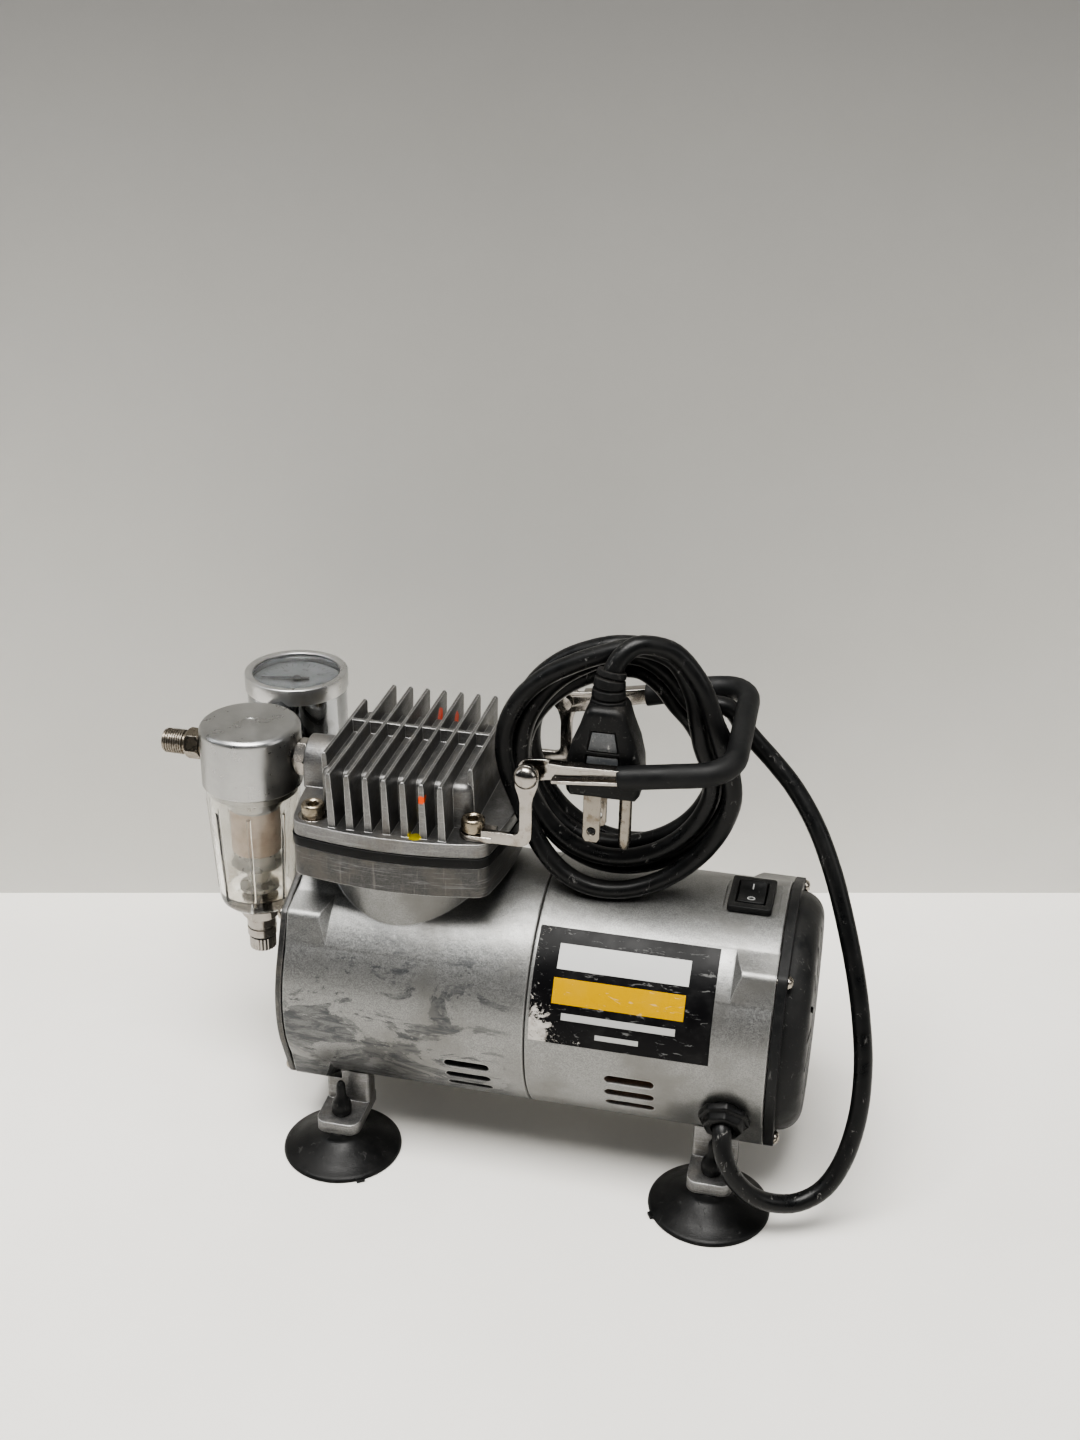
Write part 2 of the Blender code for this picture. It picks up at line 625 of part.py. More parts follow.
def cylinder_head():
    """Finned head: plate, valve chamber, nine fins, a cross rib and the outlet boss."""
    item = plate("cylinder_head", [barrel_square(FLANGE_HALF, FLANGE_BULGE, 6.0 * MM)],
                 HEAD_PLATE_TOP - GASKET_TOP, CAST, (HEAD_X, 0.0, GASKET_TOP))
    chamber = block("valve_chamber", (HEAD_X - 28.5 * MM, -27.0 * MM, HEAD_PLATE_TOP - MM),
                    (HEAD_X + 28.5 * MM, 27.0 * MM, FIN_TOP - 5.5 * MM), CAST, 1.5 * MM, CUTTERS)
    add(item, chamber)
    middle = (FIN_COUNT - 1) / 2.0
    for number in range(FIN_COUNT):
        half = OUTER_FIN_HALF_LENGTH if number in (0, FIN_COUNT - 1) else FIN_HALF_LENGTH
        across = HEAD_X + (number - middle) * FIN_PITCH
        outline = rounded_box_outline((-half, HEAD_PLATE_TOP - MM), (half, FIN_TOP), 0.9 * MM, 2)
        add(item, plate(f"fin_{number}", [outline], FIN_THICKNESS, CAST,
                        (across - FIN_THICKNESS / 2, 0.0, 0.0), FACING_X, CUTTERS))
    reach = middle * FIN_PITCH
    add(item, block("cross_rib", (HEAD_X - reach, 6.0 * MM, FIN_TOP - 7.0 * MM),
                    (HEAD_X + reach, 7.8 * MM, FIN_TOP - 0.3 * MM), CAST, 0.0, CUTTERS))
    boss = arc((0.0, PORT_Z), 9.4 * MM, 0.0, 180.0, 14)
    boss += [(-9.4 * MM, HEAD_PLATE_TOP - MM), (9.4 * MM, HEAD_PLATE_TOP - MM)]
    add(item, plate("outlet_boss", [boss], 22.0 * MM, CAST, (BOSS_X, 0.0, 0.0), FACING_X, CUTTERS))
    cut(item, cylinder("outlet_bore", 5.15 * MM, 8.0 * MM, CAST, (BOSS_X - MM, 0.0, PORT_Z),
                       ALONG_X, 16, None, CUTTERS))
    head_holes(item, "head", GASKET_TOP - MM, HEAD_PLATE_TOP + 12.0 * MM, 2.8 * MM)
    for number, (side, back) in enumerate(corner_signs(), 1):
        cut(item, cylinder(f"head_spotface_{number}", 4.9 * MM, 20.0 * MM, CAST,
                           (HEAD_X + side * HEAD_SCREW_HALF, back * HEAD_SCREW_HALF,
                            HEAD_PLATE_TOP - 0.01 * MM), (0, 0, 0), 16, None, CUTTERS))


def head_screws():
    """Socket-head cap screws; the two at the handle also clamp its brackets."""
    for number, (side, back) in enumerate(corner_signs(), 1):
        seat = HEAD_PLATE_TOP + GAP + (BRACKET_THICKNESS + GAP if side > 0 else 0.0)
        head = 4.3 * MM
        shank = 2.3 * MM
        tall = 5.0 * MM
        item = turned(f"head_screw_{number}", [
            (0.0, tall), (head - 0.5 * MM, tall), (head, tall - 0.5 * MM), (head, 0.0),
            (shank, 0.0), (shank, FLANGE_BOTTOM + 3.0 * MM - seat),
            (0.0, FLANGE_BOTTOM + 2.4 * MM - seat)], BRASS,
            (HEAD_X + side * HEAD_SCREW_HALF, back * HEAD_SCREW_HALF, seat), (0, 0, 0), 16)
        socket = cylinder(f"head_screw_{number}_socket", 2.3 * MM, 4.0 * MM, BRASS,
                          (HEAD_X + side * HEAD_SCREW_HALF, back * HEAD_SCREW_HALF,
                           seat + tall - 2.8 * MM), (0, 0, 0), 6, None, CUTTERS)
        cut(item, socket)


# ---------------------------------------------------------------- handle

def bracket_outline():
    """L-shaped leg in the XZ plane: foot, bend, narrow post and rivet ear."""
    foot_z = HEAD_PLATE_TOP + GAP
    post = 2.2 * MM
    ear = 3.9 * MM
    left = HEAD_X + HEAD_SCREW_HALF + 4.0 * MM
    points = [(left, foot_z), (PIVOT_X - 2.0 * MM, foot_z)]
    points += arc((PIVOT_X - 2.6 * MM, foot_z + 4.8 * MM), 4.8 * MM, -75.0, 0.0, 4)
    points += [(PIVOT_X + post, PIVOT_Z - 9.0 * MM), (PIVOT_X + ear, PIVOT_Z - 6.0 * MM)]
    points += arc((PIVOT_X, PIVOT_Z), ear, 0.0, 180.0, 8)
    points += [(PIVOT_X - ear, PIVOT_Z - 6.0 * MM), (PIVOT_X - post, PIVOT_Z - 9.0 * MM)]
    points += [(PIVOT_X - post, foot_z + 6.5 * MM), (PIVOT_X - post - 2.0 * MM, foot_z + 4.4 * MM)]
    points += [(left, foot_z + 4.4 * MM)]
    return points


def handle_brackets():
    for name, side in (("handle_bracket_front", -1), ("handle_bracket_rear", 1)):
        outer = side * (ARM_Y + BAIL_RADIUS + GAP + BRACKET_THICKNESS)
        depth_start = outer if side < 0 else outer - BRACKET_THICKNESS
        leg = plate(name, [bracket_outline()], BRACKET_THICKNESS, NICKEL,
                    (0.0, depth_start + BRACKET_THICKNESS, 0.0), FACING_Y)
        eye_x = HEAD_X + HEAD_SCREW_HALF
        eye = arc((eye_x, side * HEAD_SCREW_HALF), 4.8 * MM, 90.0, 270.0, 10)
        eye += [(eye_x + 7.0 * MM, side * HEAD_SCREW_HALF - 4.8 * MM),
                (eye_x + 7.0 * MM, side * HEAD_SCREW_HALF + 4.8 * MM)]
        tab = plate(name + "_tab", [eye], BRACKET_THICKNESS, NICKEL,
                    (0.0, 0.0, HEAD_PLATE_TOP + GAP), (0, 0, 0), CUTTERS)
        add(leg, tab)
        cut(leg, cylinder(name + "_eye", 2.7 * MM, 8.0 * MM, NICKEL,
                          (eye_x, side * HEAD_SCREW_HALF, HEAD_PLATE_TOP - MM),
                          (0, 0, 0), 16, None, CUTTERS))
        cut(leg, cylinder(name + "_rivet_hole", 1.9 * MM, 10.0 * MM, NICKEL,
                          (PIVOT_X, outer + 5.0 * MM, PIVOT_Z), ALONG_MINUS_Y, 16, None, CUTTERS))


def handle_rivets():
    """Domed rivet through each bracket ear and the bail's eye."""
    for name, side in (("handle_rivet_front", -1), ("handle_rivet_rear", 1)):
        face = side * (ARM_Y + BAIL_RADIUS + BRACKET_THICKNESS + 2 * GAP)
        turn = ALONG_MINUS_Y if side < 0 else (-ALONG_MINUS_Y[0], 0.0, 0.0)
        inner = -(BRACKET_THICKNESS + 2 * BAIL_RADIUS + 3 * GAP)
        rise = 3.2 * MM
        dome = [(0.0, rise)]
        dome += [(RIVET_RADIUS * math.cos(math.radians(a)), rise * math.sin(math.radians(a)))
                 for a in (65, 45, 25, 5)]
        turned(name, dome + [
            (RIVET_RADIUS, 0.0), (1.5 * MM, 0.0), (1.5 * MM, inner), (3.0 * MM, inner),
            (3.0 * MM, inner - 1.2 * MM), (0.0, inner - 1.2 * MM)], NICKEL,
            (PIVOT_X, face, PIVOT_Z), turn, 20)


def bail_route():
    """Middle line of the U-shaped bail in the pivot's frame, arms along +X."""
    corner = 12.0 * MM
    flat = BAIL_LENGTH - corner
    route = [(0.0, -ARM_Y, 0.0), (20.0 * MM, -ARM_Y, 0.0), (40.0 * MM, -ARM_Y, 0.0)]
    route += [(x, y, 0.0) for x, y in arc((flat, -ARM_Y + corner), corner, -90.0, 0.0, 6)]
    route += [(x, y, 0.0) for x, y in arc((flat, ARM_Y - corner), corner, 0.0, 90.0, 6)]
    route += [(40.0 * MM, ARM_Y, 0.0), (20.0 * MM, ARM_Y, 0.0), (0.0, ARM_Y, 0.0)]
    return route


def tilt_to_rest(item):
    """Put a piece that is drawn in the pivot's frame at the folded position."""
    item.location = (PIVOT_X, 0.0, PIVOT_Z)
    item.rotation_euler = (0.0, -BAIL_TILT, 0.0)
    return item


def handle_bail():
    item = tilt_to_rest(tube("handle_bail", bail_route(), BAIL_RADIUS, NICKEL, 2, solid=True))
    for side in (-1, 1):
        eye = cylinder(f"bail_eye_{side}", 3.6 * MM, 2 * BAIL_RADIUS, NICKEL,
                       (0, 0, 0), (0, 0, 0), 20, None, CUTTERS)
        eye.parent = item
        eye.location = (0.0, side * ARM_Y + BAIL_RADIUS, 0.0)
        eye.rotation_euler = ALONG_MINUS_Y
        add(item, eye)
    pin = cylinder("bail_pin_hole", 1.8 * MM, 80.0 * MM, NICKEL, (0, 0, 0), (0, 0, 0), 16,
                   None, CUTTERS)
    pin.parent = item
    pin.location = (0.0, 40.0 * MM, 0.0)
    pin.rotation_euler = ALONG_MINUS_Y
    cut(item, pin)


def handle_grip():
    """Plastic sleeve over the crossbar and the outer part of both arms."""
    bend = [point for point in bail_route() if point[0] > GRIP_START]
    route = [(GRIP_START, -ARM_Y, 0.0)] + bend + [(GRIP_START, ARM_Y, 0.0)]
    outside = GRIP_START - 3.0 * MM
    longer = [(outside, -ARM_Y, 0.0)] + bend + [(outside, ARM_Y, 0.0)]
    item = tilt_to_rest(tube("handle_grip", route, GRIP_RADIUS, BLACK, 2, solid=True))
    bore = tube("grip_bore", longer, BAIL_RADIUS + GAP, BLACK, 2, CUTTERS, solid=True)
    tilt_to_rest(bore)
    cut(item, bore)


# ---------------------------------------------------------------- feet

def feet():
    """Four lugs under the body, each with a suction cup pushed through its tab."""
    hug = cylinder("body_clearance", BODY_RADIUS + 0.5 * MM, 260.0 * MM, SILVER,
                   (-130.0 * MM, 0.0, SHAFT_Z), ALONG_X, 64, None, CUTTERS)
    reach = CORNER_LENGTH + CORNER_RAMP + 1.2 * MM
    starts = {"front": FRONT_X - MM, "rear": REAR_X - reach}
    for end, foot_x in zip(("front", "rear"), FOOT_X):
        corners = plate(f"corner_clearance_{end}", [corner_outline(BODY_RADIUS + 0.6 * MM)],
                        reach + MM, SILVER, (starts[end], 0.0, SHAFT_Z), FACING_X, CUTTERS)
        for side, name in ((-1, "right"), (1, "left")):
            where = f"{end}_{name}"
            foot_bracket(where, foot_x, side, hug, corners)
            suction_cup(where, foot_x, side * FOOT_Y)


def foot_bracket(where, x, side, hug, corners):
    """Lug with a round tab for the cup and a leg shaped to the underside of the body."""
    y = side * FOOT_Y
    inner = side * 25.0 * MM
    first = 180.0 if side < 0 else 0.0
    tab = arc((x, y), LUG_HALF, first, first + 180.0, 10)
    near = [(x + LUG_HALF, inner), (x - LUG_HALF, inner)]
    tab += near if side < 0 else near[::-1]
    lug = plate(f"foot_bracket_{where}", [tab], TAB_THICKNESS, CAST,
                (0.0, 0.0, TAB_TOP - TAB_THICKNESS))
    low_y, high_y = sorted((inner, side * 34.0 * MM))
    add(lug, block(f"foot_leg_{where}", (x - LUG_HALF, low_y, TAB_TOP - MM),
                   (x + LUG_HALF, high_y, 40.0 * MM), CAST, 0.0, CUTTERS))
    hole = cylinder(f"foot_hole_{where}", 3.3 * MM, 20.0 * MM, CAST, (x, y, 5.0 * MM),
                    (0, 0, 0), 20, None, CUTTERS)
    cut(lug, hug, corners, hole)


def suction_cup(where, x, y):
    under = TAB_TOP - TAB_THICKNESS - GAP
    over = TAB_TOP + GAP
    turned(f"suction_cup_{where}", [
        (0.0, over + 14.5 * MM), (2.4 * MM, over + 13.6 * MM), (3.0 * MM, over + 6.5 * MM),
        (5.4 * MM, over + 3.0 * MM), (4.8 * MM, over), (2.9 * MM, over), (2.9 * MM, under),
        (8.0 * MM, under), (9.0 * MM, under - 1.6 * MM), (15.0 * MM, 5.0 * MM),
        (CUP_RADIUS - 0.6 * MM, 1.4 * MM), (CUP_RADIUS, 0.0), (20.0 * MM, 0.0),
        (11.0 * MM, 3.0 * MM), (0.0, 4.6 * MM)], RUBBER, (x, y, 0.0), (0, 0, 0), 24)


# ---------------------------------------------------------------- switch and gland

def switch():
    """Rocker switch: bezel set in the housing and the rocker on its cross pin."""
    base = SWITCH_Z + GAP
    top = base + 2.2 * MM
    x = SWITCH_X
    y = SWITCH_Y
    frame = block("switch_frame", (x - 7.8 * MM, y - 10.8 * MM, base),
                  (x + 7.8 * MM, y + 10.8 * MM, top), BLACK, 0.5 * MM)
    can = block("switch_can", (x - 6.0 * MM, y - 9.0 * MM, base - 8.0 * MM),
                (x + 6.0 * MM, y + 9.0 * MM, base + MM), BLACK, 0.0, CUTTERS)
    well = block("switch_well", (x - 5.4 * MM, y - 7.6 * MM, base - 5.5 * MM),
                 (x + 5.4 * MM, y + 7.6 * MM, top + MM), BLACK, 0.0, CUTTERS)
    add(frame, can)
    cut(frame, well)
    pivot_z = base + 0.4 * MM
    crest = 2.9 * MM
    dip = 2.0 * MM
    low = -2.4 * MM
    half = 6.6 * MM
    outline = [(-half, low), (half, low), (half, crest), (half * 0.55, dip + 0.2 * MM),
               (0.0, dip - 0.3 * MM), (-half * 0.55, dip + 0.2 * MM), (-half, crest)]
    rocker = plate("switch_rocker", [outline], 9.8 * MM, BLACK, (0, 0, 0), (0, 0, 0))
    rocker.data.transform(lift(-4.9 * MM))
    rocker.location = (x, y, pivot_z)
    rocker.rotation_mode = 'XYZ'
    rocker.rotation_euler = FACING_X
    rocker.data.transform(Matrix.Rotation(ROCKER_TILT, 4, 'Z'))


def gland_shape(name, radius, start, end, segments=24, tip_radius=None, collection=None):
    """Round bar on the gland's axis, measured outwards from the casting surface."""
    collection = collection or CUTTERS
    out = Vector((0.0, -math.cos(GLAND_ANGLE), math.sin(GLAND_ANGLE)))
    centre = Vector((GLAND_X, 0.0, SHAFT_Z)) + out * (BODY_RADIUS + start)
    turn = (math.radians(90.0) - GLAND_ANGLE, 0.0, 0.0)
    return cylinder(name, radius, end - start, BLACK, centre, turn, segments, tip_radius, collection)


def cord_gland():
    """Eight-sided strain-relief bushing with a throat for the cord."""
    item = gland_shape("cord_gland", 9.6 * MM, 1.3 * MM, 6.5 * MM, 8, 8.6 * MM, PARTS)
    body = gland_shape("gland_body", GLAND_THREAD, -7.0 * MM, 3.0 * MM, 24)
    add(item, body)
    cut(item, gland_shape("gland_throat", 4.4 * MM, -9.0 * MM, 8.0 * MM, 20))


# ---------------------------------------------------------------- filter, valve and gauge

def filter_cap():
    item = turned("filter_cap", [
        (0.0, CAP_TOP), (CAP_RADIUS - 2.0 * MM, CAP_TOP), (CAP_RADIUS - 0.6 * MM, CAP_TOP - 0.6 * MM),
        (CAP_RADIUS, CAP_TOP - 2.0 * MM), (CAP_RADIUS, CAP_BOTTOM), (17.0 * MM, CAP_BOTTOM),
        (17.0 * MM, CAP_BOTTOM - 3.0 * MM), (5.0 * MM, CAP_BOTTOM - 3.0 * MM), (5.0 * MM, CAP_BOTTOM),
        (0.0, CAP_BOTTOM)], TURNED, (FILTER_X, 0.0, 0.0), (0, 0, 0), 40)
    depth = 12.0 * MM
    start = CAP_RADIUS - 10.0 * MM
    for name, side in (("left", -1), ("right", 1)):
        cut(item, cylinder(f"cap_port_{name}", PORT_RADIUS, depth, TURNED,
                           (FILTER_X + side * start, 0.0, PORT_Z),
                           (0.0, math.radians(90.0 * side), 0.0), 20, None, CUTTERS))
    cut(item, cylinder("cap_port_back", PORT_RADIUS, depth, TURNED,
                       (FILTER_X, 10.0 * MM, PORT_Z), (math.radians(-90.0), 0.0, 0.0), 20, None,
                       CUTTERS))


def hex_fitting(name, start, stub, hexagon, thread, bore):
    """Fitting along X: a plain stub, a hexagon and a threaded end with a bore."""
    item = cylinder(name, PIPE_RADIUS, stub + 1.0 * MM, BRASS, (start, 0.0, PORT_Z), ALONG_X, 24)
    nut = cylinder(name + "_hex", HEX_RADIUS, hexagon, BRASS, (start + stub, 0.0, PORT_Z),
                   ALONG_X, 6, None, CUTTERS)
    end = cylinder(name + "_thread", PIPE_RADIUS, thread + 1.0 * MM, BRASS,
                   (start + stub + hexagon - 1.0 * MM, 0.0, PORT_Z), ALONG_X, 24, None, CUTTERS)
    add(item, nut, end)
    cut(item, cylinder(name + "_bore", bore, stub + hexagon + thread + 2.0 * MM, BRASS,
                       (start - MM, 0.0, PORT_Z), ALONG_X, 16, None, CUTTERS))


def fittings():
    cap_left = FILTER_X - CAP_RADIUS
    cap_right = FILTER_X + CAP_RADIUS
    stub = 9.4 * MM
    hexagon = 5.4 * MM
    buried = cap_left - OUTLET_X - stub - hexagon + 6.0 * MM
    hex_fitting("outlet_nipple", OUTLET_X, stub, hexagon, buried, 2.6 * MM)
    hex_length = BOSS_X - cap_right - 2 * GAP
    hex_fitting("inlet_nipple", cap_right - 5.0 * MM + GAP, 5.0 * MM, hex_length, 5.0 * MM, 2.2 * MM)


def filter_bowl():
    """Clear tapered bowl with a closed, drained bottom."""
    top = CAP_BOTTOM - GAP
    wall = 1.8 * MM
    turned("filter_bowl", [
        (18.7 * MM, top), (18.3 * MM, top - 3.0 * MM), (14.9 * MM, 87.5 * MM), (13.4 * MM, 85.0 * MM),
        (10.0 * MM, BOWL_BOTTOM), (3.2 * MM, BOWL_BOTTOM), (3.2 * MM, BOWL_BOTTOM + wall),
        (9.5 * MM, BOWL_BOTTOM + wall), (12.4 * MM, 87.5 * MM), (17.3 * MM, top - 8.0 * MM),
        (17.3 * MM, top)], CLEAR, (FILTER_X, 0.0, 0.0), (0, 0, 0), 28)


def filter_element():
    top = CAP_BOTTOM - 3.0 * MM - GAP
    turned("filter_element", [
        (ELEMENT_RADIUS, top), (ELEMENT_RADIUS, 108.0 * MM), (ELEMENT_RADIUS - 1.5 * MM, 106.8 * MM),
        (7.0 * MM, 106.8 * MM), (7.0 * MM, top)], FELT, (FILTER_X, 0.0, 0.0), (0, 0, 0), 24)


def drain():
    """Bleed valve under the bowl and the knurled knob that opens it."""
    seat = BOWL_BOTTOM - GAP
    item = cylinder("drain_valve", 7.9 * MM, 4.2 * MM, BRASS, (FILTER_X, 0.0, 75.2 * MM),
                    (0, 0, math.radians(30.0)), 6)
    for name, radius, bottom, top in (("drain_barrel", 5.9 * MM, VALVE_BOTTOM, 76.0 * MM),
                                      ("drain_collar", 7.4 * MM, 79.0 * MM, seat),
                                      ("drain_neck", 2.9 * MM, 82.0 * MM, 88.0 * MM)):
        add(item, cylinder(name, radius, top - bottom, BRASS, (FILTER_X, 0.0, bottom),
                           (0, 0, 0), 20, None, CUTTERS))
    cut(item, cylinder("drain_bore", 2.3 * MM, 11.0 * MM, BRASS, (FILTER_X, 0.0, 60.0 * MM),
                       (0, 0, 0), 16, None, CUTTERS))
    knob_top = VALVE_BOTTOM - GAP
    knob = plate("drain_knob", [knurl_outline(5.3 * MM, 18)], 5.8 * MM, BRASS,
                 (FILTER_X, 0.0, knob_top - 5.8 * MM))
    stem = cylinder("knob_stem", 2.0 * MM, 5.0 * MM, BRASS, (FILTER_X, 0.0, knob_top - 1.0 * MM),
                    (0, 0, 0), 16, None, CUTTERS)
    add(knob, stem)


def knurl_outline(radius, teeth):
    points = []
    for number in range(teeth * 2):
        reach = radius if number % 2 else radius * 0.93
        angle = math.pi * number / teeth
        points.append((reach * math.cos(angle), reach * math.sin(angle)))
    return points


def gauge():
    """Pressure gauge: can with a side stem, dial card, pointer and window."""
    base = 134.0 * MM
    rim = 19.0 * MM
    place_at = (FILTER_X, GAUGE_Y, 0.0)
    case = turned("gauge_case", [
        (GAUGE_RADIUS, GAUGE_TOP), (GAUGE_RADIUS, GAUGE_TOP - 7.0 * MM),
        (GAUGE_RADIUS - 0.6 * MM, GAUGE_TOP - 7.4 * MM), (GAUGE_RADIUS - 0.6 * MM, base + 1.5 * MM),
        (GAUGE_RADIUS - 2.0 * MM, base), (0.0, base), (0.0, base + 3.0 * MM), (rim, base + 3.0 * MM),
        (rim, GAUGE_TOP - 3.4 * MM), (18.0 * MM, GAUGE_TOP - 0.8 * MM), (18.4 * MM, GAUGE_TOP)],
        CHROME, place_at, (0, 0, 0), 36)
    stem = cylinder("gauge_stem", PIPE_RADIUS, 18.0 * MM, BRASS, (FILTER_X, GAUGE_Y - 19.6 * MM, PORT_Z),
                    ALONG_MINUS_Y, 20, None, CUTTERS)
    flats = cylinder("gauge_flats", HEX_RADIUS, 6.5 * MM, BRASS, (FILTER_X, GAUGE_Y - 19.4 * MM, PORT_Z),
                     ALONG_MINUS_Y, 6, None, CUTTERS)
    add(case, stem, flats)
    cylinder("gauge_dial", 18.6 * MM, 0.8 * MM, DIAL, (FILTER_X, GAUGE_Y, 152.6 * MM), (0, 0, 0), 40)
    pointer = [(-5.0 * MM, -0.9 * MM), (0.0, -0.9 * MM), (14.5 * MM, -0.25 * MM),
               (14.5 * MM, 0.25 * MM), (0.0, 0.9 * MM), (-5.0 * MM, 0.9 * MM)]
    needle = plate("gauge_needle", [pointer], 0.5 * MM, BLACK, (FILTER_X, GAUGE_Y, 154.2 * MM),
                   (0, 0, math.radians(NEEDLE_REST)))
    add(needle, cylinder("needle_hub", 1.9 * MM, 1.0 * MM, BLACK, (FILTER_X, GAUGE_Y, 153.9 * MM),
                         (0, 0, 0), 16, None, CUTTERS))
    turned("gauge_lens", [
        (0.0, 157.6 * MM), (18.3 * MM, 157.0 * MM), (18.6 * MM, 156.8 * MM), (18.6 * MM, 156.0 * MM),
        (0.0, 156.0 * MM)], CLEAR, place_at, (0, 0, 0), 40)


# ---------------------------------------------------------------- cord and plug

def swell(angle, middle, width, height):
    """Smooth bump in the coil's outline round one direction, in degrees."""
    return height * math.exp(-((angle - middle) / width) ** 2)


def reach_inside_handle(angle):
    """How far the coil may reach in one direction before the swinging crossbar's sweep."""
    direction = Vector((math.cos(math.radians(angle)), math.sin(math.radians(angle))))
    offset = Vector((COIL_X - PIVOT_X, COIL_Z - PIVOT_Z))
    along = offset.dot(direction)
    return math.sqrt(along ** 2 + COIL_SWEEP ** 2 - offset.length_squared) - along


def coil_radius(angle):
    """Outer radius of the loosely wound coil: pressed in by the cylinder head, kept
    inside the crossbar's sweep, and raised where its last turn goes over the top."""
    reach = (COIL_RADIUS - swell(angle, 212.0, 16.0, 6.0 * MM) - swell(angle, 20.0, 9.0, 2.4 * MM)
             + swell(angle, 70.0, 26.0, 10.0 * MM))
    return min(reach, reach_inside_handle(angle)) if 17.0 < angle < 150.0 else reach


def coil_outline(inset, steps):
    points = []
    for number in range(steps):
        angle = 360.0 * number / steps
        reach = coil_radius(angle) - inset
        points.append((COIL_X + reach * math.cos(math.radians(angle)),
                       COIL_Z + reach * math.sin(math.radians(angle))))
    return points


def cord_coil():
    plate("cord_coil", [coil_outline(0.0, 60), coil_outline(COIL_WIDTH, 48)],
          COIL_Y[1] - COIL_Y[0], RUBBER, (0.0, COIL_Y[1], 0.0), FACING_Y)


def power_cord():
    """Free stretch: out of the gland, round the fan end and up to the coil."""
    route = [(74.4, -51.9, 43.5), (75.6, -55.5, 37.5), (79.0, -57.0, 29.5), (85.5, -56.0, 21.0),
             (94.0, -53.0, 15.6), (104.0, -49.0, 14.4), (113.0, -44.5, 19.5), (119.0, -39.5, 31.0),
             (122.0, -34.0, 47.0), (121.8, -28.0, 64.0), (119.2, -22.0, 80.0), (115.2, -16.0, 96.0),
             (109.5, -9.0, 113.0), (103.0, -2.0, 129.0), (95.4, 5.0, 142.5), (86.5, 11.0, 153.5),
             (78.5, 14.5, 161.0), (73.4, 15.8, 165.6)]
    points = smooth_route([Vector(point) * MM for point in route], 8.0 * MM)
    tube("power_cord", points, CORD_RADIUS, RUBBER, 2)


def plug():
    """Moulded grounding plug with a ribbed relief, two blades and a round pin."""
    bottom = PLUG_BOTTOM
    outline = [(-12.6, 0.0), (12.6, 0.0), (13.6, 4.0), (13.2, 14.0), (10.6, 24.0), (6.6, 32.0),
               (5.4, 34.0), (5.4, 46.0), (-5.4, 46.0), (-5.4, 34.0), (-6.6, 32.0), (-10.6, 24.0),
               (-13.2, 14.0), (-13.6, 4.0)]
    body = plate("plug_body", [[(x * MM, z * MM) for x, z in outline]], PLUG_THICKNESS, BLACK,
                 (PLUG_X, PLUG_Y + PLUG_THICKNESS / 2, bottom), FACING_Y)
    trim = body.modifiers.new("round", 'BEVEL')
    trim.width = 2.6 * MM
    trim.segments = 2
    trim.limit_method = 'ANGLE'
    trim.angle_limit = math.radians(60.0)
    relief = []
    for side, y in (("front", PLUG_Y - 15.0 * MM), ("back", PLUG_Y + 4.9 * MM)):
        relief.append(block(f"relief_{side}", (PLUG_X - 8.0 * MM, y, bottom + 34.5 * MM),
                            (PLUG_X + 8.0 * MM, y + 10.1 * MM, bottom + 50.0 * MM), BLACK, 0.0, CUTTERS))
    cut(body, *relief)
    for name, offset in (("plug_blade_front", -6.35), ("plug_blade_back", 6.35)):
        y = PLUG_Y + offset * MM
        block(name, (PLUG_X - 6.6 * MM, y - 0.75 * MM, bottom - 18.0 * MM),
              (PLUG_X - 0.3 * MM, y + 0.75 * MM, bottom - GAP), NICKEL, 0.3 * MM)
    turned("plug_ground_pin", [
        (0.0, bottom - GAP), (2.4 * MM, bottom - GAP), (2.4 * MM, bottom - 20.0 * MM),
        (1.7 * MM, bottom - 21.8 * MM), (0.0, bottom - 22.6 * MM)], NICKEL,
        (PLUG_X + 7.6 * MM, PLUG_Y, 0.0), (0, 0, 0), 16)


def build():
    crankcase_front()
    motor_housing_rear()
    front_plate()
    end_screws("front_plate_screw", FRONT_X - GAP - 2.4 * MM, -1)
    rear_cover()
    end_screws("rear_cover_screw", REAR_X + GAP + 3.6 * MM, 1)
    bearings()
    stator()
    rotor()
    cooling_fan()
    crank_eccentric()
    piston_rod()
    cylinder_block()
    head_gasket()
    cylinder_head()
    head_screws()
    handle_brackets()
    handle_rivets()
    handle_bail()
    handle_grip()
    feet()
    switch()
    cord_gland()
    filter_cap()
    fittings()
    filter_bowl()
    filter_element()
    drain()
    gauge()
    cord_coil()
    power_cord()
    plug()


build()
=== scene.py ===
import bmesh
import bpy
import math
from mathutils import Matrix, Vector, Euler

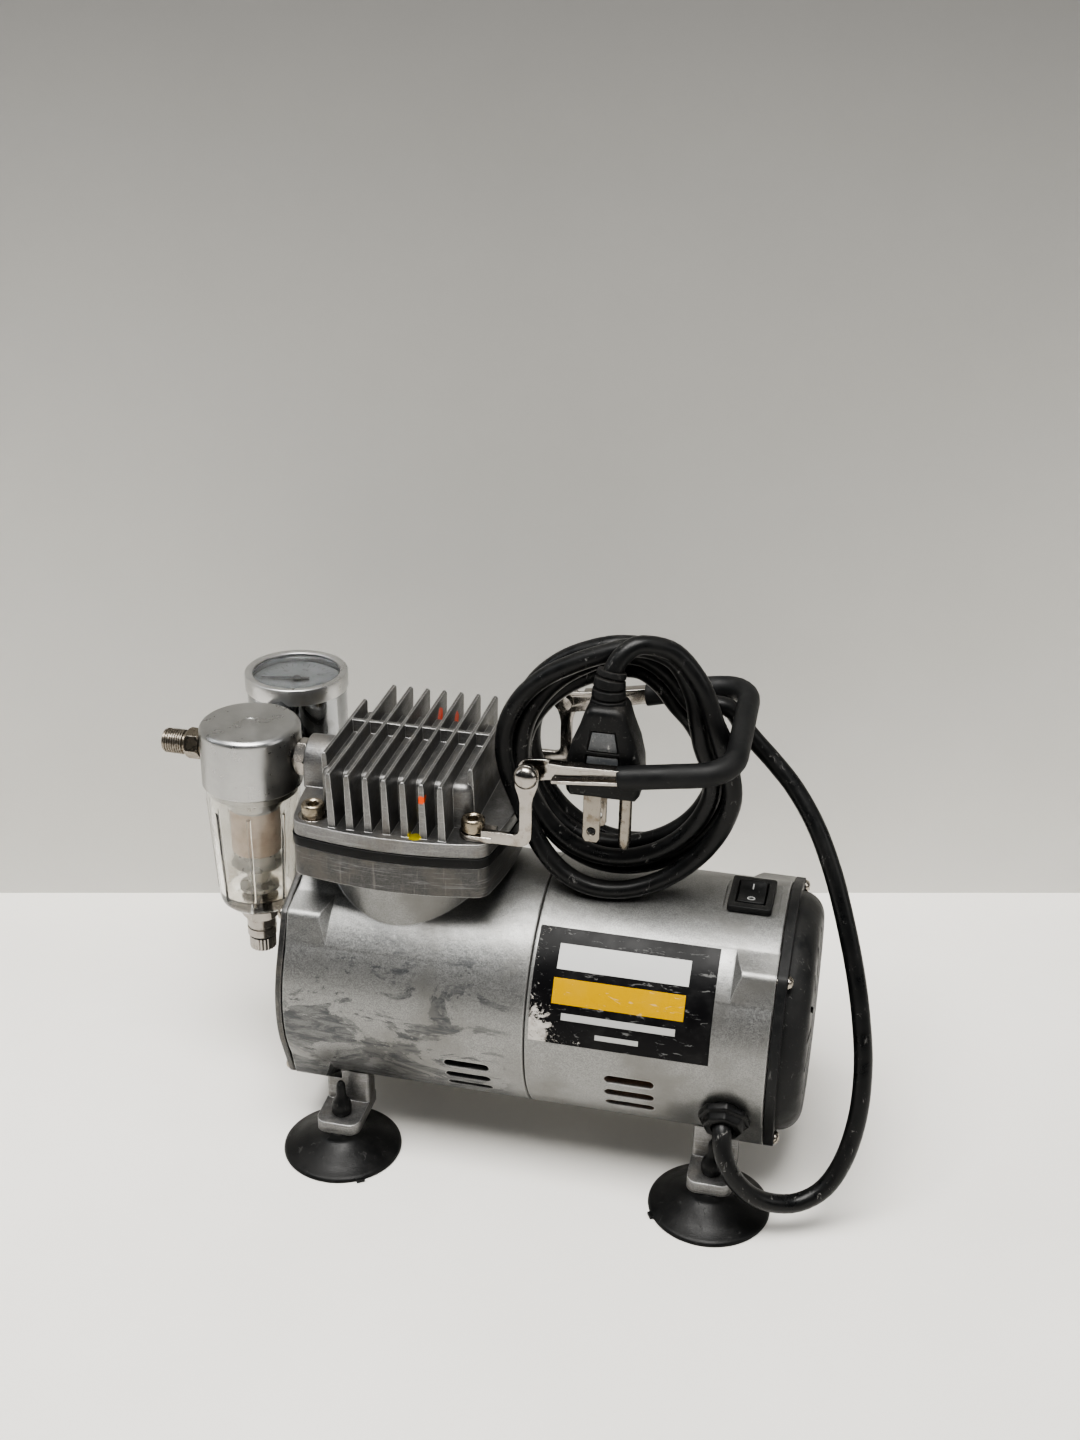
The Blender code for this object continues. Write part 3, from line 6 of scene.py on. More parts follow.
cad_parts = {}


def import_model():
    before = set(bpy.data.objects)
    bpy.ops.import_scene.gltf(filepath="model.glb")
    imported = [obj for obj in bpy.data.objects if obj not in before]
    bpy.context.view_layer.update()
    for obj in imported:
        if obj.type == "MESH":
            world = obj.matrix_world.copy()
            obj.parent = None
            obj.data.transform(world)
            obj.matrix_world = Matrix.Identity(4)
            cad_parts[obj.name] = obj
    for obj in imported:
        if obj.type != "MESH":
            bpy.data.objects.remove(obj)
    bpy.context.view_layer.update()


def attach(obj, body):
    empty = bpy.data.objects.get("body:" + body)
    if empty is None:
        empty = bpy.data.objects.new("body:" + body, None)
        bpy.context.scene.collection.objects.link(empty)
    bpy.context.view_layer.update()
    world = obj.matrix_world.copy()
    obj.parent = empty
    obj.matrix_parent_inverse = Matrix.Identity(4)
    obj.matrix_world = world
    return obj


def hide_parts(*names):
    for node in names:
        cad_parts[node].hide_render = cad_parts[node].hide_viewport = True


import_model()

# All shapes are drawn in millimetres in the machine's own frame: X along the
# motor shaft, Y = 0 the shaft's vertical plane, Z up. SHIFT moves them to the row frame.
SHIFT = Vector((27.5, -3.8, 0.0))
TO_WORLD = Matrix.Scale(0.001, 4) @ Matrix.Translation(SHIFT)
SCENE = bpy.context.scene

# Driving sizes: the housing tube, its squared ends, the parts on top of it and the handle.
BODY_R, SHAFT_Z, WALL = 48.3, 65.0, 3.5
FRONT_X, SEAM_X, REAR_X = -95.0, -1.0, 88.4
CORNER_HALF, CORNER_FILLET, END_SCREW = 22.5, 4.0, 34.4
HEAD_X, FILTER_X, GAUGE_Y, PORT_Z = -55.0, -121.2, 51.5, 148.6
BOLT, TAB_Z = 30.4, 141.3
PIVOT = Vector((-4.3, 0.0, 169.7))
BAIL_TILT, ARM_Y, BAIL_LENGTH = 9.3, 30.6, 72.0
FOOT_X, CUP_Y = {"front": -75.0, "rear": 70.6}, 41.8
COIL, CORD_R = (22.0, 160.8), 3.5
PLUG = (21.0, -18.0, 159.0)
CORNERS = ((-1, 1), (-1, -1), (1, 1), (1, -1))


def world(point):
    return (Vector(point) + SHIFT) * 0.001


def at(x, y, z):
    return Matrix.Translation((x, y, z))


def spin(degrees, axis='Z'):
    return Matrix.Rotation(math.radians(degrees), 4, axis)


def put(name, data):
    item = bpy.data.objects.new(name, data)
    SCENE.collection.objects.link(item)
    return item


X_AXIS, MINUS_X = spin(90, 'Y'), spin(-90, 'Y')
FACE_Y = spin(90, 'X')
FACE_X = Euler((math.radians(90), 0, math.radians(90))).to_matrix().to_4x4()


# ------------------------------------------------------------------ camera
CAMERA_PLACE = (117.0, -559.1, 448.5)
CAMERA_TURN, CAMERA_PITCH, CAMERA_ROLL = (math.radians(d) for d in (12.54, 25.51, 0.95))


def place_camera():
    turn, pitch, roll = CAMERA_TURN, CAMERA_PITCH, CAMERA_ROLL
    forward = Vector((-math.sin(turn) * math.cos(pitch), math.cos(turn) * math.cos(pitch),
                      -math.sin(pitch)))
    level = Vector((math.cos(turn), math.sin(turn), 0))
    upright = level.cross(forward)
    side = level * math.cos(roll) + upright * math.sin(roll)
    up = upright * math.cos(roll) - level * math.sin(roll)
    data = bpy.data.cameras.new("camera")
    data.lens = 43.34
    data.sensor_fit = 'VERTICAL'
    data.sensor_height = data.sensor_width = 36
    SCENE.camera = put("camera", data)
    basis = Matrix((side, up, -forward)).transposed().to_4x4()
    SCENE.camera.matrix_world = Matrix.Translation(world(CAMERA_PLACE)) @ basis


place_camera()


# ------------------------------------------------------------------ materials
class Mat:
    """Small builder of procedural node materials; textures are laid out in millimetres."""

    def __init__(self, name, metallic=0.0, coat=0.0, ior=1.5, transmission=0.0, sheen=0.0):
        self.m = bpy.data.materials.new(name)
        self.m.use_nodes = True
        self.t = self.m.node_tree
        self.b = self.t.nodes["Principled BSDF"]
        for key, value in (("Metallic", metallic), ("Coat Weight", coat), ("Coat Roughness", 0.18),
                           ("IOR", ior), ("Transmission Weight", transmission),
                           ("Sheen Weight", sheen), ("Sheen Roughness", 0.5)):
            self.b.inputs[key].default_value = value
        coords = self.n("ShaderNodeTexCoord").outputs["Object"]
        self.mm = self.vec("MULTIPLY_ADD", coords, (1000.0,) * 3, tuple(-SHIFT))
        self.x, self.y, self.z = self.parts(self.mm)

    def n(self, kind, **settings):
        node = self.t.nodes.new(kind)
        for key, value in settings.items():
            setattr(node, key, value)
        return node

    def link(self, value, socket):
        if isinstance(value, bpy.types.NodeSocket):
            self.t.links.new(value, socket)
        elif isinstance(value, (tuple, list)) and socket.type == 'RGBA':
            socket.default_value = (*value[:3], 1.0)
        else:
            socket.default_value = value

    def parts(self, vector):
        node = self.n("ShaderNodeSeparateXYZ")
        self.link(vector, node.inputs[0])
        return node.outputs

    def vec(self, operation, *values):
        node = self.n("ShaderNodeVectorMath", operation=operation)
        for value, socket in zip(values, node.inputs):
            self.link(value, socket)
        return node.outputs["Value"] if operation in ("LENGTH", "DOT_PRODUCT") else node.outputs[0]

    def f(self, operation, a, b=0.0):
        node = self.n("ShaderNodeMath", operation=operation)
        for value, socket in zip((a, b), node.inputs):
            self.link(value, socket)
        return node.outputs[0]

    def times(self, a, b):
        return self.f("MULTIPLY", a, b)

    def plus(self, a, b):
        return self.f("ADD", a, b)

    def noise(self, scale, detail, rough=0.55, stretch=None, warp=0.0, seed=0.0):
        vector = self.mm
        if stretch:
            vector = self.vec("MULTIPLY", vector, stretch)
        if seed:
            vector = self.vec("ADD", vector, (seed, seed * 1.7, -seed))
        node = self.n("ShaderNodeTexNoise")
        for key, value in (("Scale", scale), ("Detail", detail), ("Roughness", rough),
                           ("Distortion", warp)):
            node.inputs[key].default_value = value
        self.link(vector, node.inputs["Vector"])
        return node.outputs[0]

    def cells(self, scale):
        """A random value for each cell."""
        node = self.n("ShaderNodeTexVoronoi")
        node.inputs["Scale"].default_value = scale
        self.link(self.mm, node.inputs["Vector"])
        split = self.n("ShaderNodeSeparateColor")
        self.link(node.outputs["Color"], split.inputs[0])
        return split.outputs[0]

    def span(self, value, low, high, to_low=0.0, to_high=1.0, smooth=True):
        kind = 'SMOOTHSTEP' if smooth else 'LINEAR'
        node = self.n("ShaderNodeMapRange", interpolation_type=kind)
        for item, socket in zip((value, low, high, to_low, to_high), node.inputs):
            self.link(item, socket)
        return node.outputs[0]

    def mix(self, factor, a, b, amount=1.0):
        """Colour a going to b where the factor is 1, b's share limited to the amount."""
        if amount != 1.0:
            factor = self.times(factor, amount)
        node = self.n("ShaderNodeMix", data_type='RGBA')
        self.link(factor, node.inputs[0])
        self.link(a, node.inputs[6])
        self.link(b, node.inputs[7])
        return node.outputs[2]

    def edge(self, radius):
        """1 on convex edges and corners, 0 on faces; also the rounded normal."""
        bevel = self.n("ShaderNodeBevel", samples=4)
        bevel.inputs["Radius"].default_value = radius * 0.001
        flat = self.n("ShaderNodeNewGeometry")
        turn = self.vec("DOT_PRODUCT", bevel.outputs[0], flat.outputs["True Normal"])
        return self.span(turn, 0.995, 0.80), bevel.outputs[0]

    def bump(self, height, depth, normal=None):
        node = self.n("ShaderNodeBump")
        node.inputs["Distance"].default_value = depth * 0.001
        self.link(height, node.inputs["Height"])
        if normal is not None:
            self.link(normal, node.inputs["Normal"])
        return node.outputs[0]

    def done(self, colour, rough, normal, alpha=1.0):
        for key, value in (("Base Color", colour), ("Roughness", rough), ("Normal", normal),
                           ("Alpha", alpha)):
            self.link(value, self.b.inputs[key])
        return self.m


def silver_paint():
    s = Mat("silver_paint", metallic=0.82, coat=0.12)
    worn, soft = s.edge(0.9)
    flake = s.cells(3.2)
    colour = s.mix(flake, (0.172, 0.174, 0.171), (0.285, 0.285, 0.277))
    cloud = s.noise(0.035, 5, 0.6)
    colour = s.mix(s.span(cloud, 0.42, 0.72), colour, (0.17, 0.167, 0.158))
    # scuffs rubbed along the lower front of the crankcase
    rub = s.noise(0.05, 8, 0.70, (0.6, 1.0, 1.1), 0.9, 31.0)
    area_rubbed = s.times(s.times(s.span(s.z, 106, 86), s.span(s.x, -2, -14)), s.span(s.y, 30, -10))
    limit = s.f("SUBTRACT", 0.530, s.times(s.span(s.z, 88, 50), 0.085))
    rubbed = s.times(s.span(s.f("SUBTRACT", rub, limit), 0.0, 0.05), area_rubbed)
    streak = s.span(s.noise(0.35, 6, 0.7, (0.22, 1.0, 0.9), 0.8, 12.0), 0.42, 0.62)
    rubbed = s.times(rubbed, s.plus(0.45, s.times(streak, 0.45)))
    colour = s.mix(rubbed, colour, (0.060, 0.063, 0.067))
    fine = s.noise(0.9, 5, 0.7, (0.10, 1.0, 0.75), 0.6, 9.0)
    scratch = s.times(s.span(fine, 0.655, 0.70), s.span(cloud, 0.40, 0.55))
    colour = s.mix(scratch, colour, (0.20, 0.20, 0.20), 0.6)
    chip = s.span(s.noise(0.42, 3, 0.5, None, 0.4, 77.0), 0.765, 0.785)
    colour = s.mix(chip, colour, (0.10, 0.095, 0.09))
    # darker towards the bottom of the tube, in cloudy patches
    low_darkening = s.times(s.span(s.z, 34, 14), s.span(cloud, 0.3, 0.6))
    colour = s.mix(low_darkening, colour, (0.16, 0.14, 0.12), 0.5)
    colour = s.mix(worn, colour, (0.62, 0.62, 0.61), 0.6)
    rough = s.plus(s.span(flake, 0, 1, 0.30, 0.47, False), s.times(rubbed, 0.14))
    rough = s.plus(rough, s.times(s.span(cloud, 0.4, 0.7), 0.06))
    normal = s.bump(s.cells(1.9), 0.012, soft)
    normal = s.bump(s.noise(0.28, 4, 0.5), 0.10, normal)
    normal = s.bump(s.plus(scratch, chip), -0.03, normal)
    return s.done(colour, rough, normal)


PAINT_DABS = (((-53.8, 29.8, 157.2), 3.3, (0.95, 0.08, 0.01)),
              ((-46.9, 28.6, 157.4), 3.0, (0.95, 0.10, 0.015)),
              ((-41.2, -38.8, 158.0), 1.7, (0.80, 0.10, 0.02)),
              ((-44.6, -37.0, 141.0), 2.4, (0.62, 0.52, 0.03)))


def cast_aluminium(name, base, dirt=0.5, dabs=(), scored=0.25):
    s = Mat(name, metallic=0.9)
    worn, soft = s.edge(0.6)
    grain = s.cells(2.4)
    colour = s.mix(grain, (base * 0.66,) * 3, (base * 0.98, base * 0.97, base * 0.95))
    soil = s.noise(0.09, 6, 0.65)
    colour = s.mix(s.span(soil, 0.48, 0.66), colour, (0.17, 0.155, 0.135), dirt)
    streak = s.noise(0.5, 4, 0.6, (1.0, 1.0, 0.08), 0.3, 12.0)
    colour = s.mix(s.span(streak, 0.56, 0.70), colour, (0.25, 0.24, 0.22), 0.3)
    colour = s.mix(worn, colour, (0.66, 0.66, 0.65), 0.75)
    drag = s.noise(0.9, 5, 0.7, (0.09, 0.09, 1.9), 0.3, 50.0)
    colour = s.mix(s.span(drag, 0.52, 0.68), colour, (base * 2.2,) * 3, scored)
    for place, size, tone in dabs:
        away = s.vec("LENGTH", s.vec("SUBTRACT", s.mm, place))
        away = s.plus(away, s.times(s.noise(0.4, 4), 3.0))
        colour = s.mix(s.span(away, size + 2.1, size + 1.3), colour, tone)
    rough = s.plus(s.span(soil, 0.35, 0.7, 0.30, 0.52), s.times(grain, 0.08))
    normal = s.bump(s.noise(1.1, 6, 0.65), 0.10, soft)
    normal = s.bump(s.cells(1.3), 0.02, normal)
    return s.done(colour, rough, normal)


def turned_metal(name, centre, base):
    """Lathe-turned face: fine rings round an upright axis, rubbed marks down the side and a painted highlight
    in a wedge round the axis.
    """
    s = Mat(name, metallic=1.0)
    worn, soft = s.edge(0.5)
    offset = s.vec("SUBTRACT", s.mm, centre)
    reach = s.vec("LENGTH", s.vec("MULTIPLY", offset, (1, 1, 0)))
    rings = s.f("SINE", s.times(reach, 17.0))
    bands = s.f("SINE", s.times(s.z, 15.0))
    uneven = s.noise(0.12, 5, 0.6)
    tone = s.span(s.plus(uneven, s.times(rings, 0.03)), 0.35, 0.70)
    colour = s.mix(tone, tuple(c * 0.86 for c in base), base)
    across, ahead = s.parts(offset)[:2]
    angle = s.f("ARCTAN2", ahead, across)
    # painted highlight: a brighter wedge, by angle round the axis, standing for the glint on a spun finish
    painted_highlight_wedge = s.f("COSINE", s.times(s.plus(angle, 1.2), 2.0))
    colour = s.mix(s.span(painted_highlight_wedge, 0.2, 1.0, 0, 0.12), colour, tuple(min(1, c * 1.5) for c in base))
    spots = s.span(s.noise(0.8, 3, 0.5, None, 0, 5.0), 0.70, 0.74)
    colour = s.mix(spots, colour, (0.30, 0.28, 0.26), 0.45)
    colour = s.mix(worn, colour, (0.92, 0.92, 0.91), 0.5)
    rough = s.plus(s.span(uneven, 0.35, 0.7, 0.27, 0.38), s.times(spots, 0.2))
    normal = s.bump(s.plus(s.times(rings, 0.5), s.times(bands, 0.5)), 0.010, soft)
    normal = s.bump(s.noise(0.7, 4, 0.6), 0.005, normal)
    return s.done(colour, rough, normal)


def plated(name, base, tarnish, rough_low, rough_high, amount):
    """Bright metal with tarnish in patches and specks."""
    s = Mat(name, metallic=1.0)
    worn, soft = s.edge(0.35)
    stain = s.noise(0.22, 6, 0.65)
    speck = s.span(s.noise(1.6, 4, 0.6, None, 0, 8.0), 0.62, 0.70)
    mask = s.f("MAXIMUM", s.span(stain, 0.50, 0.68), s.times(speck, 0.6))
    colour = s.mix(mask, base, tarnish, amount)
    colour = s.mix(worn, colour, (0.88, 0.86, 0.82), 0.35)
    rough = s.plus(s.span(stain, 0.35, 0.72, rough_low, rough_high), s.times(speck, 0.15))
    hair = s.noise(1.2, 3, 0.6, (0.15, 0.15, 1.0), 0, 3.0)
    return s.done(colour, rough, s.bump(s.noise(0.5, 3), 0.03, s.bump(hair, 0.012, soft)))


def dusty_black(name, base, dust, rough, scuff, coat=0.0, grain=0.05, warm=(0.34, 0.32, 0.29)):
    """Black plastic or rubber with dust on what faces up, specks and rubbed marks."""
    s = Mat(name, coat=coat, ior=1.30)
    worn, soft = s.edge(0.5)
    film = s.noise(0.10, 6, 0.68)
    speck = s.span(s.noise(0.9, 5, 0.65, None, 0, 4.0), 0.60, 0.74)
    marks = s.span(s.noise(0.35, 7, 0.75, (1.0, 1.0, 0.5), 0.8, 21.0), 0.60, 0.68)
    colour = s.mix(s.span(film, 0.3, 0.7), (base, base * 1.08, base * 1.16),
                   (base * 1.7, base * 1.75, base * 1.8))
    upward = s.parts(s.n("ShaderNodeNewGeometry").outputs["Normal"])[2]
    settled = s.times(s.span(upward, 0.1, 0.95), s.span(film, 0.35, 0.65))
    colour = s.mix(settled, colour, warm, dust * 0.25)
    colour = s.mix(speck, colour, warm, dust * 0.6)
    colour = s.mix(marks, colour, (0.45, 0.44, 0.42), scuff)
    colour = s.mix(worn, colour, (0.30, 0.30, 0.30), 0.05)
    roughness = s.plus(s.span(film, 0.3, 0.7, rough - 0.08, rough + 0.12), s.times(marks, 0.2))
    normal = s.bump(s.noise(2.2, 4, 0.6), grain, soft)
    return s.done(colour, roughness, s.bump(marks, 0.03, normal))


def clear_plastic(name, tint, haze, stain, ior):
    s = Mat(name, ior=ior, transmission=1.0)
    film = s.noise(0.12, 6, 0.65)
    drops = s.span(s.noise(0.55, 5, 0.6, (1, 1, 0.35), 0.4, 6.0), 0.60, 0.70)
    colour = tint
    if stain:
        low = s.plus(0.30, s.times(s.span(s.z, 104, 86), 0.6))
        colour = s.mix(s.times(s.span(film, 0.42, 0.66), low), tint, (0.62, 0.56, 0.46))
    rough = s.plus(s.span(film, 0.35, 0.7, haze * 0.4, haze * 1.6), s.times(drops, 0.14))
    return s.done(colour, rough, s.bump(s.noise(0.3, 4), 0.05))


def felt():
    s = Mat("filter_felt", sheen=0.3)
    fibre = s.noise(1.4, 6, 0.75, (1, 1, 0.5), 1.2)
    stain = s.noise(0.12, 4, 0.6)
    colour = s.mix(fibre, (0.62, 0.49, 0.39), (0.86, 0.73, 0.61))
    colour = s.mix(s.span(stain, 0.45, 0.7), colour, (0.58, 0.43, 0.32))
    return s.done(colour, s.span(fibre, 0.2, 0.8, 0.75, 0.95), s.bump(fibre, 0.25))


def dial_card():
    s = Mat("dial_face")
    film = s.noise(0.13, 5, 0.6)
    grain = s.noise(2.5, 3)
    colour = s.mix(s.span(film, 0.4, 0.7), (0.15, 0.155, 0.16), (0.11, 0.115, 0.12))
    colour = s.mix(grain, colour, (0.35, 0.35, 0.35), 0.15)
    return s.done(colour, s.span(film, 0.3, 0.7, 0.45, 0.65), s.bump(grain, 0.02))


def winding():
    s = Mat("copper_winding", metallic=0.85)
    offset = s.vec("MULTIPLY", s.vec("SUBTRACT", s.mm, (0, 0, SHAFT_Z)), (0, 1, 1))
    wires = s.f("SINE", s.times(s.vec("LENGTH", offset), 9.0))
    tone = s.noise(0.3, 4)
    colour = s.mix(s.span(wires, -1, 1), (0.16, 0.07, 0.03), (0.48, 0.22, 0.09))
    colour = s.mix(s.span(tone, 0.5, 0.7), colour, (0.10, 0.06, 0.04))
    return s.done(colour, s.span(tone, 0.3, 0.7, 0.35, 0.6), s.bump(wires, 0.12))


def label_material(name, colour):
    """Print on a plastic film that has flaked away, most of all at its lower left."""
    s = Mat(name, ior=1.22)
    wear = s.noise(0.16, 7, 0.72, (0.8, 1.0, 1.0), 0.6, 40.0)
    left = s.span(s.x, 13, 0.0)
    low = s.span(s.z, 88, 68)
    corner = s.times(s.times(low, s.span(s.x, 34, 2)), 0.20)
    limit = s.f("SUBTRACT", 0.735, s.plus(s.times(left, 0.13), corner))
    flecks = s.noise(0.85, 6, 0.75, None, 0.3, 55.0)
    lost = s.f("MAXIMUM", s.f("GREATER_THAN", wear, limit),
               s.f("GREATER_THAN", flecks, s.plus(limit, 0.02)))
    scuff = s.span(s.noise(0.5, 6, 0.7, (0.3, 1, 1), 0.5, 60.0), 0.60, 0.66)
    tone = s.mix(scuff, colour, (0.5, 0.5, 0.49), 0.22)
    film = s.noise(0.1, 5, 0.6)
    tone = s.mix(s.span(film, 0.45, 0.75, 0, 0.03), tone, (0.3, 0.3, 0.29))
    rough = s.plus(s.span(film, 0.3, 0.7, 0.30, 0.46), s.times(scuff, 0.2))
    return s.done(tone, rough, s.bump(s.noise(0.25, 3), 0.06), s.f("SUBTRACT", 1.0, lost))


def label_paper():
    """Torn paper left where the print has flaked away."""
    s = Mat("label_paper", ior=1.3)
    film = s.noise(0.3, 6, 0.7)
    colour = s.mix(s.span(film, 0.4, 0.65), (0.46, 0.44, 0.41), (0.30, 0.28, 0.255))
    bits = s.span(s.noise(0.5, 6, 0.75, None, 0.5, 90.0), 0.60, 0.63)
    colour = s.mix(bits, colour, (0.02, 0.02, 0.02))
    return s.done(colour, s.span(film, 0.3, 0.7, 0.5, 0.7), s.bump(film, 0.05))


def switch_print():
    s = Mat("switch_print")
    tone = s.noise(1.5, 4)
    colour = s.mix(tone, (0.30, 0.31, 0.31), (0.48, 0.48, 0.47))
    return s.done(colour, s.span(tone, 0.3, 0.7, 0.5, 0.7), s.bump(tone, 0.02))


def baffle_plastic():
    s = Mat("baffle_plastic", transmission=0.55, ior=1.45)
    film = s.noise(0.2, 5)
    colour = s.mix(film, (0.80, 0.79, 0.76), (0.62, 0.60, 0.56))
    return s.done(colour, s.span(film, 0.3, 0.7, 0.2, 0.4), s.bump(film, 0.05))


SILVER = silver_paint()
CAST = cast_aluminium("raw_aluminium", 0.25)
BLOCK = cast_aluminium("cast_block", 0.085, 0.35, scored=0.75)
PLATE = cast_aluminium("plate_edge", 0.09)
FINS = cast_aluminium("cast_fins", 0.20, 0.45, PAINT_DABS)
CAP = turned_metal("turned_cap", (FILTER_X, 0, 150), (0.40, 0.40, 0.395))
GAUGE_RING = turned_metal("turned_bezel", (FILTER_X, GAUGE_Y, 150), (0.54, 0.54, 0.535))
CHROME = plated("chrome", (0.34, 0.35, 0.36), (0.20, 0.195, 0.185), 0.05, 0.16, 0.35)
NICKEL = plated("nickel_plate", (0.33, 0.31, 0.285), (0.20, 0.165, 0.13), 0.12, 0.28, 0.5)
SCREW = plated("bright_screw", (0.34, 0.31, 0.27), (0.17, 0.13, 0.09), 0.14, 0.30, 0.4)
BRASS = plated("nickelled_brass", (0.27, 0.235, 0.18), (0.13, 0.095, 0.06), 0.22, 0.40, 0.7)
BRONZE = plated("outlet_bronze", (0.20, 0.175, 0.14), (0.09, 0.07, 0.05), 0.24, 0.42, 0.7)
CONTACT = plated("plug_contacts", (0.24, 0.22, 0.19), (0.12, 0.09, 0.06), 0.16, 0.34, 0.65)
STEEL = plated("machined_steel", (0.52, 0.51, 0.49), (0.26, 0.22, 0.19), 0.25, 0.45, 0.5)
BLACK = dusty_black("black_plastic", 0.0045, 0.08, 0.42, 0.10)
COVER = dusty_black("cover_plastic", 0.006, 0.10, 0.46, 0.18, grain=0.08)
GRIP = dusty_black("grip_plastic", 0.005, 0.04, 0.48, 0.03)
GLAND = dusty_black("gland_plastic", 0.0015, 0.01, 0.30, 0.02)
RUBBER = dusty_black("cup_rubber", 0.0025, 0.03, 0.40, 0.06)
CORD = dusty_black("cord_rubber", 0.0035, 0.05, 0.32, 0.30, coat=0.05)
GASKET = dusty_black("gasket_rubber", 0.002, 0.02, 0.50, 0.04)
INK = dusty_black("print_ink", 0.02, 0.10, 0.55, 0.1)
MOULDING = dusty_black("plug_moulding", 0.004, 0.20, 0.42, 0.25, grain=0.10, warm=(0.36, 0.33, 0.29))
# plug panels: the lighter base and heavy pale scuffing are partly painted sheen for the panels' glare, partly
# real wear
PANEL = dusty_black("plug_panel", 0.05, 0.45, 0.22, 0.85, 0.5, 0.20, (0.45, 0.43, 0.38))
CLEAR = clear_plastic("clear_plastic", (0.93, 0.925, 0.90), 0.10, True, 1.46)
LENS = clear_plastic("lens_plastic", (0.84, 0.85, 0.86), 0.03, False, 1.25)
BAFFLE = baffle_plastic()
FELT = felt()
DIAL = dial_card()
COPPER = winding()
MARK = switch_print()
LABEL_PAPER = label_paper()
LABEL = label_material("label_black", (0.004, 0.004, 0.0045))
LABEL_WHITE = label_material("label_white", (0.50, 0.50, 0.49))
LABEL_YELLOW = label_material("label_yellow", (0.46, 0.26, 0.0))
LABEL_GREY = label_material("label_grey", (0.38, 0.38, 0.37))


# ------------------------------------------------------------------ shapes
def to_object(name, shape, matrix=Matrix()):
    """bmesh in machine millimetres -> object whose vertices are in the row frame."""
    for step in (matrix, TO_WORLD):
        bmesh.ops.transform(shape, matrix=step, verts=shape.verts)
    bmesh.ops.recalc_face_normals(shape, faces=shape.faces)
    mesh = bpy.data.meshes.new(name)
    shape.to_mesh(mesh)
    shape.free()
    return put(name, mesh)


def baked(item):
    """Mesh of an object with its curve or its modifiers worked out."""
    bpy.context.view_layer.update()
    graph = bpy.context.evaluated_depsgraph_get()
    return bpy.data.meshes.new_from_object(item.evaluated_get(graph))


def applied(item):
    mesh = baked(item)
    item.modifiers.clear()
    item.data = mesh
    return item


def drop(item):
    bpy.data.objects.remove(item, do_unlink=True)


def combine(item, others, operation):
    for other in others:
        step = item.modifiers.new(operation, 'BOOLEAN')
        step.operation = operation
        step.solver = 'EXACT'
        step.object = other
    applied(item)
    for other in others:
        drop(other)
    return item


def add(item, *others):
    return combine(item, others, 'UNION')


def cut(item, *others):
    return combine(item, others, 'DIFFERENCE')


def rounded(item, width, segments, angle):
    step = item.modifiers.new("bevel", 'BEVEL')
    step.width = width * 0.001
    step.segments = segments
    step.limit_method = 'ANGLE'
    step.angle_limit = math.radians(angle)
    return applied(item)


def finish(item, material, slot, *replaced, body="housing", sharp=35):
    """Give a piece its look, the body that it rides on and the CAD nodes that it stands for."""
    item.data.materials.clear()
    item.data.materials.append(material)
    item.data.shade_smooth()
    item.data.set_sharp_from_angle(angle=math.radians(sharp))
    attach(item, body)
    if replaced:
        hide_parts(*replaced)
    return item


def lathe(name, profile, matrix, segments):
    """Solid of revolution round local Z from (radius, height) pairs, closed on itself."""
    shape = bmesh.new()
    rings = []
    for radius, height in profile:
        if radius <= 1e-6:
            rings.append([shape.verts.new((0, 0, height))])
            continue
        turns = [2 * math.pi * (index + 0.37) / segments for index in range(segments)]
        rings.append([shape.verts.new((radius * math.cos(a), radius * math.sin(a), height)) for a in turns])
    pairs = list(zip(rings, rings[1:]))
    if profile[0][0] > 1e-6 or profile[-1][0] > 1e-6:
        pairs.append((rings[-1], rings[0]))
    for first, second in pairs:
        if len(first) == 1 and len(second) == 1:
            continue
        for index in range(segments):
            nxt = (index + 1) % segments
            corners = [first[index % len(first)], first[nxt % len(first)],
                       second[nxt % len(second)], second[index % len(second)]]
            unique = list(dict.fromkeys(corners))
            if len(unique) > 2:
                shape.faces.new(unique)
    return to_object(name, shape, matrix)


def rod(name, radius, length, matrix, segments, tip=None):
    tip = tip or radius
    return lathe(name, [(0, length), (tip, length), (radius, 0), (0, 0)], matrix, segments)


def brick(name, low, high, matrix=Matrix()):
    shape = bmesh.new()
    bmesh.ops.create_cube(shape, size=1.0)
    size = Vector(high) - Vector(low)
    middle = (Vector(high) + Vector(low)) / 2
    bmesh.ops.scale(shape, vec=size, verts=shape.verts)
    bmesh.ops.translate(shape, vec=middle, verts=shape.verts)
    return to_object(name, shape, matrix)


def slab(name, outlines, depth, matrix):
    """Flat outline with holes, extruded along local Z from 0 to depth."""
    curve = bpy.data.curves.new(name, 'CURVE')
    curve.dimensions = '2D'
    curve.fill_mode = 'BOTH'
    curve.extrude = depth / 2
    for outline in outlines:
        spline = curve.splines.new('POLY')
        spline.points.add(len(outline) - 1)
        for point, (across, up) in zip(spline.points, outline):
            point.co = (across, up, 0, 1)
        spline.use_cyclic_u = True
    item = put(name, curve)
    mesh = baked(item)
    drop(item)
    shape = bmesh.new()
    shape.from_mesh(mesh)
    bmesh.ops.remove_doubles(shape, verts=shape.verts, dist=0.002)
    bmesh.ops.dissolve_limit(shape, angle_limit=0.001, verts=shape.verts, edges=shape.edges)
    bmesh.ops.translate(shape, vec=(0, 0, depth / 2), verts=shape.verts)
    return to_object(name, shape, matrix)


